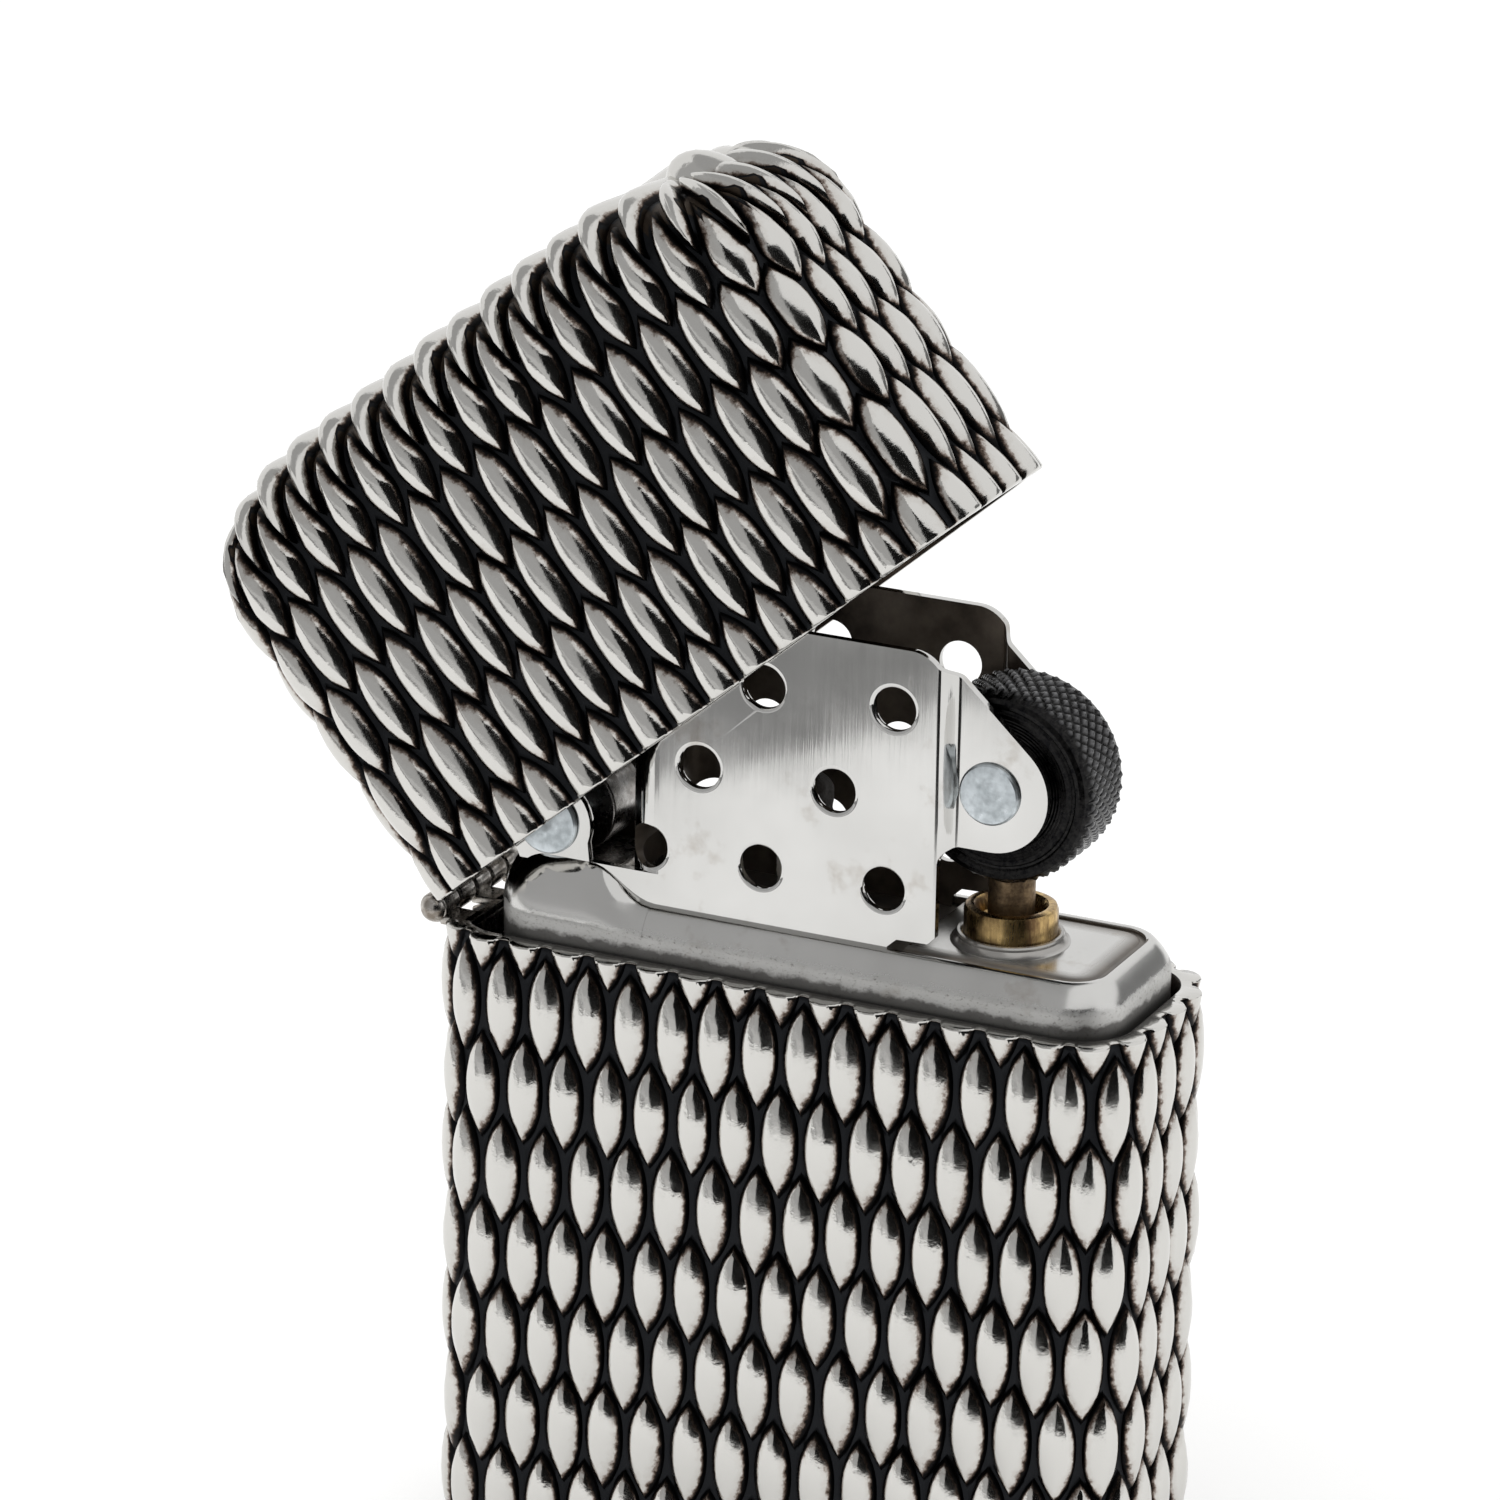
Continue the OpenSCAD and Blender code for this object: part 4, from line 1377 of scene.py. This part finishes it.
def wheel_finish():
    """Hardened steel, blackened, with the knurl's tips lighter: worn bare, and partly a painted highlight.
    """
    g = Graph("black_wheel_steel")
    dust = g.noise(3.0, 5, 0.7)
    # The knurl's tips are drawn lighter: bare worn metal, and partly a painted highlight along them
    worn = g.remap(g.attribute("tips"), 0.3, 1.0)
    black = g.ramp(dust, [(0.35, (0.006, 0.006, 0.007)), (0.7, (0.03, 0.029, 0.028))])
    colour = g.mix(g.times(worn, 0.7), black, (0.17, 0.17, 0.175))
    return g.set(Base_Color=colour, Metallic=1.0, Roughness=g.remap(dust, 0.3, 0.7, 0.2, 0.4),
                 Normal=g.bump(g.noise(6.0, 4, 0.6), 0.006))


def fibre_finish(name, light, dark, scale, depth, tip=None):
    """Cotton or felt: tangled fibres, matt, with a soft sheen. tip scorches it above a height."""
    g = Graph(name)
    tangle = g.node("TexNoise", {"Vector": g.scaled(scale, (1, 1, 1)), "Scale": 1.0, "Detail": 8.0,
                                 "Roughness": 0.7, "Distortion": 2.5})
    colour = g.mix(g.remap(tangle, 0.35, 0.65), dark, light)
    if tip is not None:
        ragged = g.add(g.height(), g.sway(tangle, 3 * MM))
        burnt = g.remap(ragged, (tip - 1.5) * MM, (tip + 1.0) * MM)
        colour = g.mix(burnt, colour, (0.03, 0.022, 0.016))
    g.shader.inputs["Sheen Weight"].default_value = 0.4
    g.shader.inputs["Sheen Roughness"].default_value = 0.6
    return g.set(Base_Color=colour, Roughness=0.92, Normal=g.bump(tangle, depth))


# ---- Floor and light ----

FAR = 600
FLOOR_FAR = 3000
CEILING_Z = 900
MAT_FRONT = -152
MAT_BACK = -138
GAP_FROM = 8
GAP_TO = 70
GAP_NEAR = 124


def plain_material(name, colour, glow):
    """A matt colour with an even glow."""
    return Graph(name).set(Base_Color=(*colour, 1), Roughness=0.9, Specular_IOR_Level=0.0,
                           Emission_Color=(1, 1, 1, 1), Emission_Strength=glow)


def stage_mesh(name, points, faces, material):
    """A part of the set, in millimetres."""
    o = new_object(name, points, faces)
    o.data.materials.append(material)
    return o


def card(name, points, faces, brightness):
    """A grey card that only reflections see."""
    o = stage_mesh(name, points, faces, plain_material(name, (0, 0, 0), brightness))
    for kind in ("camera", "diffuse", "shadow", "transmission"):
        setattr(o, "visible_" + kind, False)


def curved_card(name, start, end, edges, brightness, steps=13):
    """A card that goes round the object from one angle to another, in degrees from the front
    towards +X, between two edges given by their distance and height."""
    angles = np.radians(np.linspace(start, end, steps))
    points = [(r * math.sin(a), -r * math.cos(a), z) for r, z in edges for a in angles]
    card(name, points, grid_faces(2, steps, closed=False), brightness)


def flat_card(name, corners, brightness, z=1):
    """A card that lies on the floor, or level with it at a height."""
    card(name, [(x, y, z) for x, y in corners], [list(range(len(corners)))], brightness)


def lamp(name, place, size, power):
    """A soft square lamp that faces the chimney."""
    data = bpy.data.lights.new(name, "AREA")
    data.size = size * MM
    data.energy = power
    o = add_object(name, data)
    o.location = Vector(place) * MM
    aim = Vector(VIEW_AIM) * MM
    o.rotation_euler = (aim - o.location).to_track_quat("-Z", "Y").to_euler()
    o.visible_glossy = False


def make_stage():
    """A pale floor, a white room, and cards that give the metal something to reflect."""
    floor = plain_material("floor", (0.75, 0.75, 0.745), 0.3)
    corners = [(x * FLOOR_FAR, y * FLOOR_FAR, -0.02) for x, y in ((-1, -1), (1, -1), (1, 1), (-1, 1))]
    stage_mesh("floor", corners, [[0, 1, 2, 3]], floor)
    world = bpy.data.worlds.new("room")
    world.use_nodes = True
    sky = next(n for n in world.node_tree.nodes if n.type == "BACKGROUND")
    sky.inputs["Color"].default_value = (1, 1, 1, 1)
    sky.inputs["Strength"].default_value = 1.0
    bpy.context.scene.world = world
    flat_card("mat_left", [(-FAR, -FAR), (84, -FAR), (21, MAT_FRONT), (-FAR, MAT_FRONT)], 0.68)
    flat_card("mat_near", [(-45, MAT_FRONT), (21, MAT_FRONT), (19, MAT_BACK), (-50, MAT_BACK)], 0.36)
    flat_card("mat_side", [(-FAR, MAT_FRONT), (-45, MAT_FRONT), (-54, -122), (-75, -98), (-FAR, -98)], 0.3)
    flat_card("ceiling", [(-FAR, -FAR), (60, -FAR), (60, FAR), (-FAR, FAR)], 0.45, CEILING_Z)
    curved_card("mat_gap", GAP_FROM, GAP_TO, [(GAP_NEAR, 1), (FAR, 1)], 0.02, steps=9)
    curved_card("wall_left", -78, GAP_FROM, [(FAR, 0), (FAR, 1000)], 0.5)
    curved_card("wall_gap", GAP_FROM, GAP_TO, [(FAR, 0), (FAR, 440)], 0.01)
    curved_card("wall_back", 118, 168, [(FAR, 60), (FAR, 250)], 0.2)
    lamp("lamp_top", place=(-180, -140, 420), size=260, power=0.35)
    bpy.context.scene.view_settings.view_transform = "Standard"


# ---- Putting it together ----

SILVER_GREY = (0.62, 0.60, 0.57)
BRASS_LIGHT = (0.60, 0.42, 0.18)
BRASS_DARK = (0.15, 0.09, 0.045)

make_camera()

silver = silver_finish()
steel = steel_finish()
hinge_metal = metal_finish("hinge_metal", SILVER_GREY, (0.22, 0.19, 0.16), 0.16, 0.38)
brass = metal_finish("worn_brass", BRASS_LIGHT, BRASS_DARK, 0.18, 0.36, 4.0, (1, 1, 8))
spring_steel = metal_finish("spring_steel", (0.52, 0.51, 0.50), (0.26, 0.24, 0.22), 0.18, 0.36)
zinc = metal_finish("zinc_rivet", (0.66, 0.71, 0.74), (0.42, 0.46, 0.48), 0.26, 0.42, 3.0)
flint_alloy = metal_finish("flint_alloy", (0.27, 0.19, 0.11), (0.09, 0.062, 0.04), 0.4, 0.65, 4.0,
                           depth=0.03)
wheel_steel = wheel_finish()
wick_cotton = fibre_finish("wick_cotton", (0.80, 0.76, 0.67), (0.52, 0.46, 0.37), 3.5, 0.08,
                           tip=RIM_Z + 6.5)
packing = fibre_finish("packing_cotton", (0.88, 0.87, 0.84), (0.66, 0.65, 0.62), 1.4, 0.3)
felt = fibre_finish("felt_grey", (0.62, 0.60, 0.56), (0.30, 0.29, 0.27), 2.6, 0.15)

make_lower_case(silver)
make_lid(silver)
make_hinge(hinge_metal)
make_insert(steel)
make_top_plate(steel)
make_tube(brass)
make_flint(flint_alloy, brass)
make_spring(spring_steel)
make_screw(brass)
make_wheel(wheel_steel)
make_rivets(zinc)
make_cam(spring_steel)
make_wick(wick_cotton)
make_packing(packing)
make_felt(felt)
make_stage()
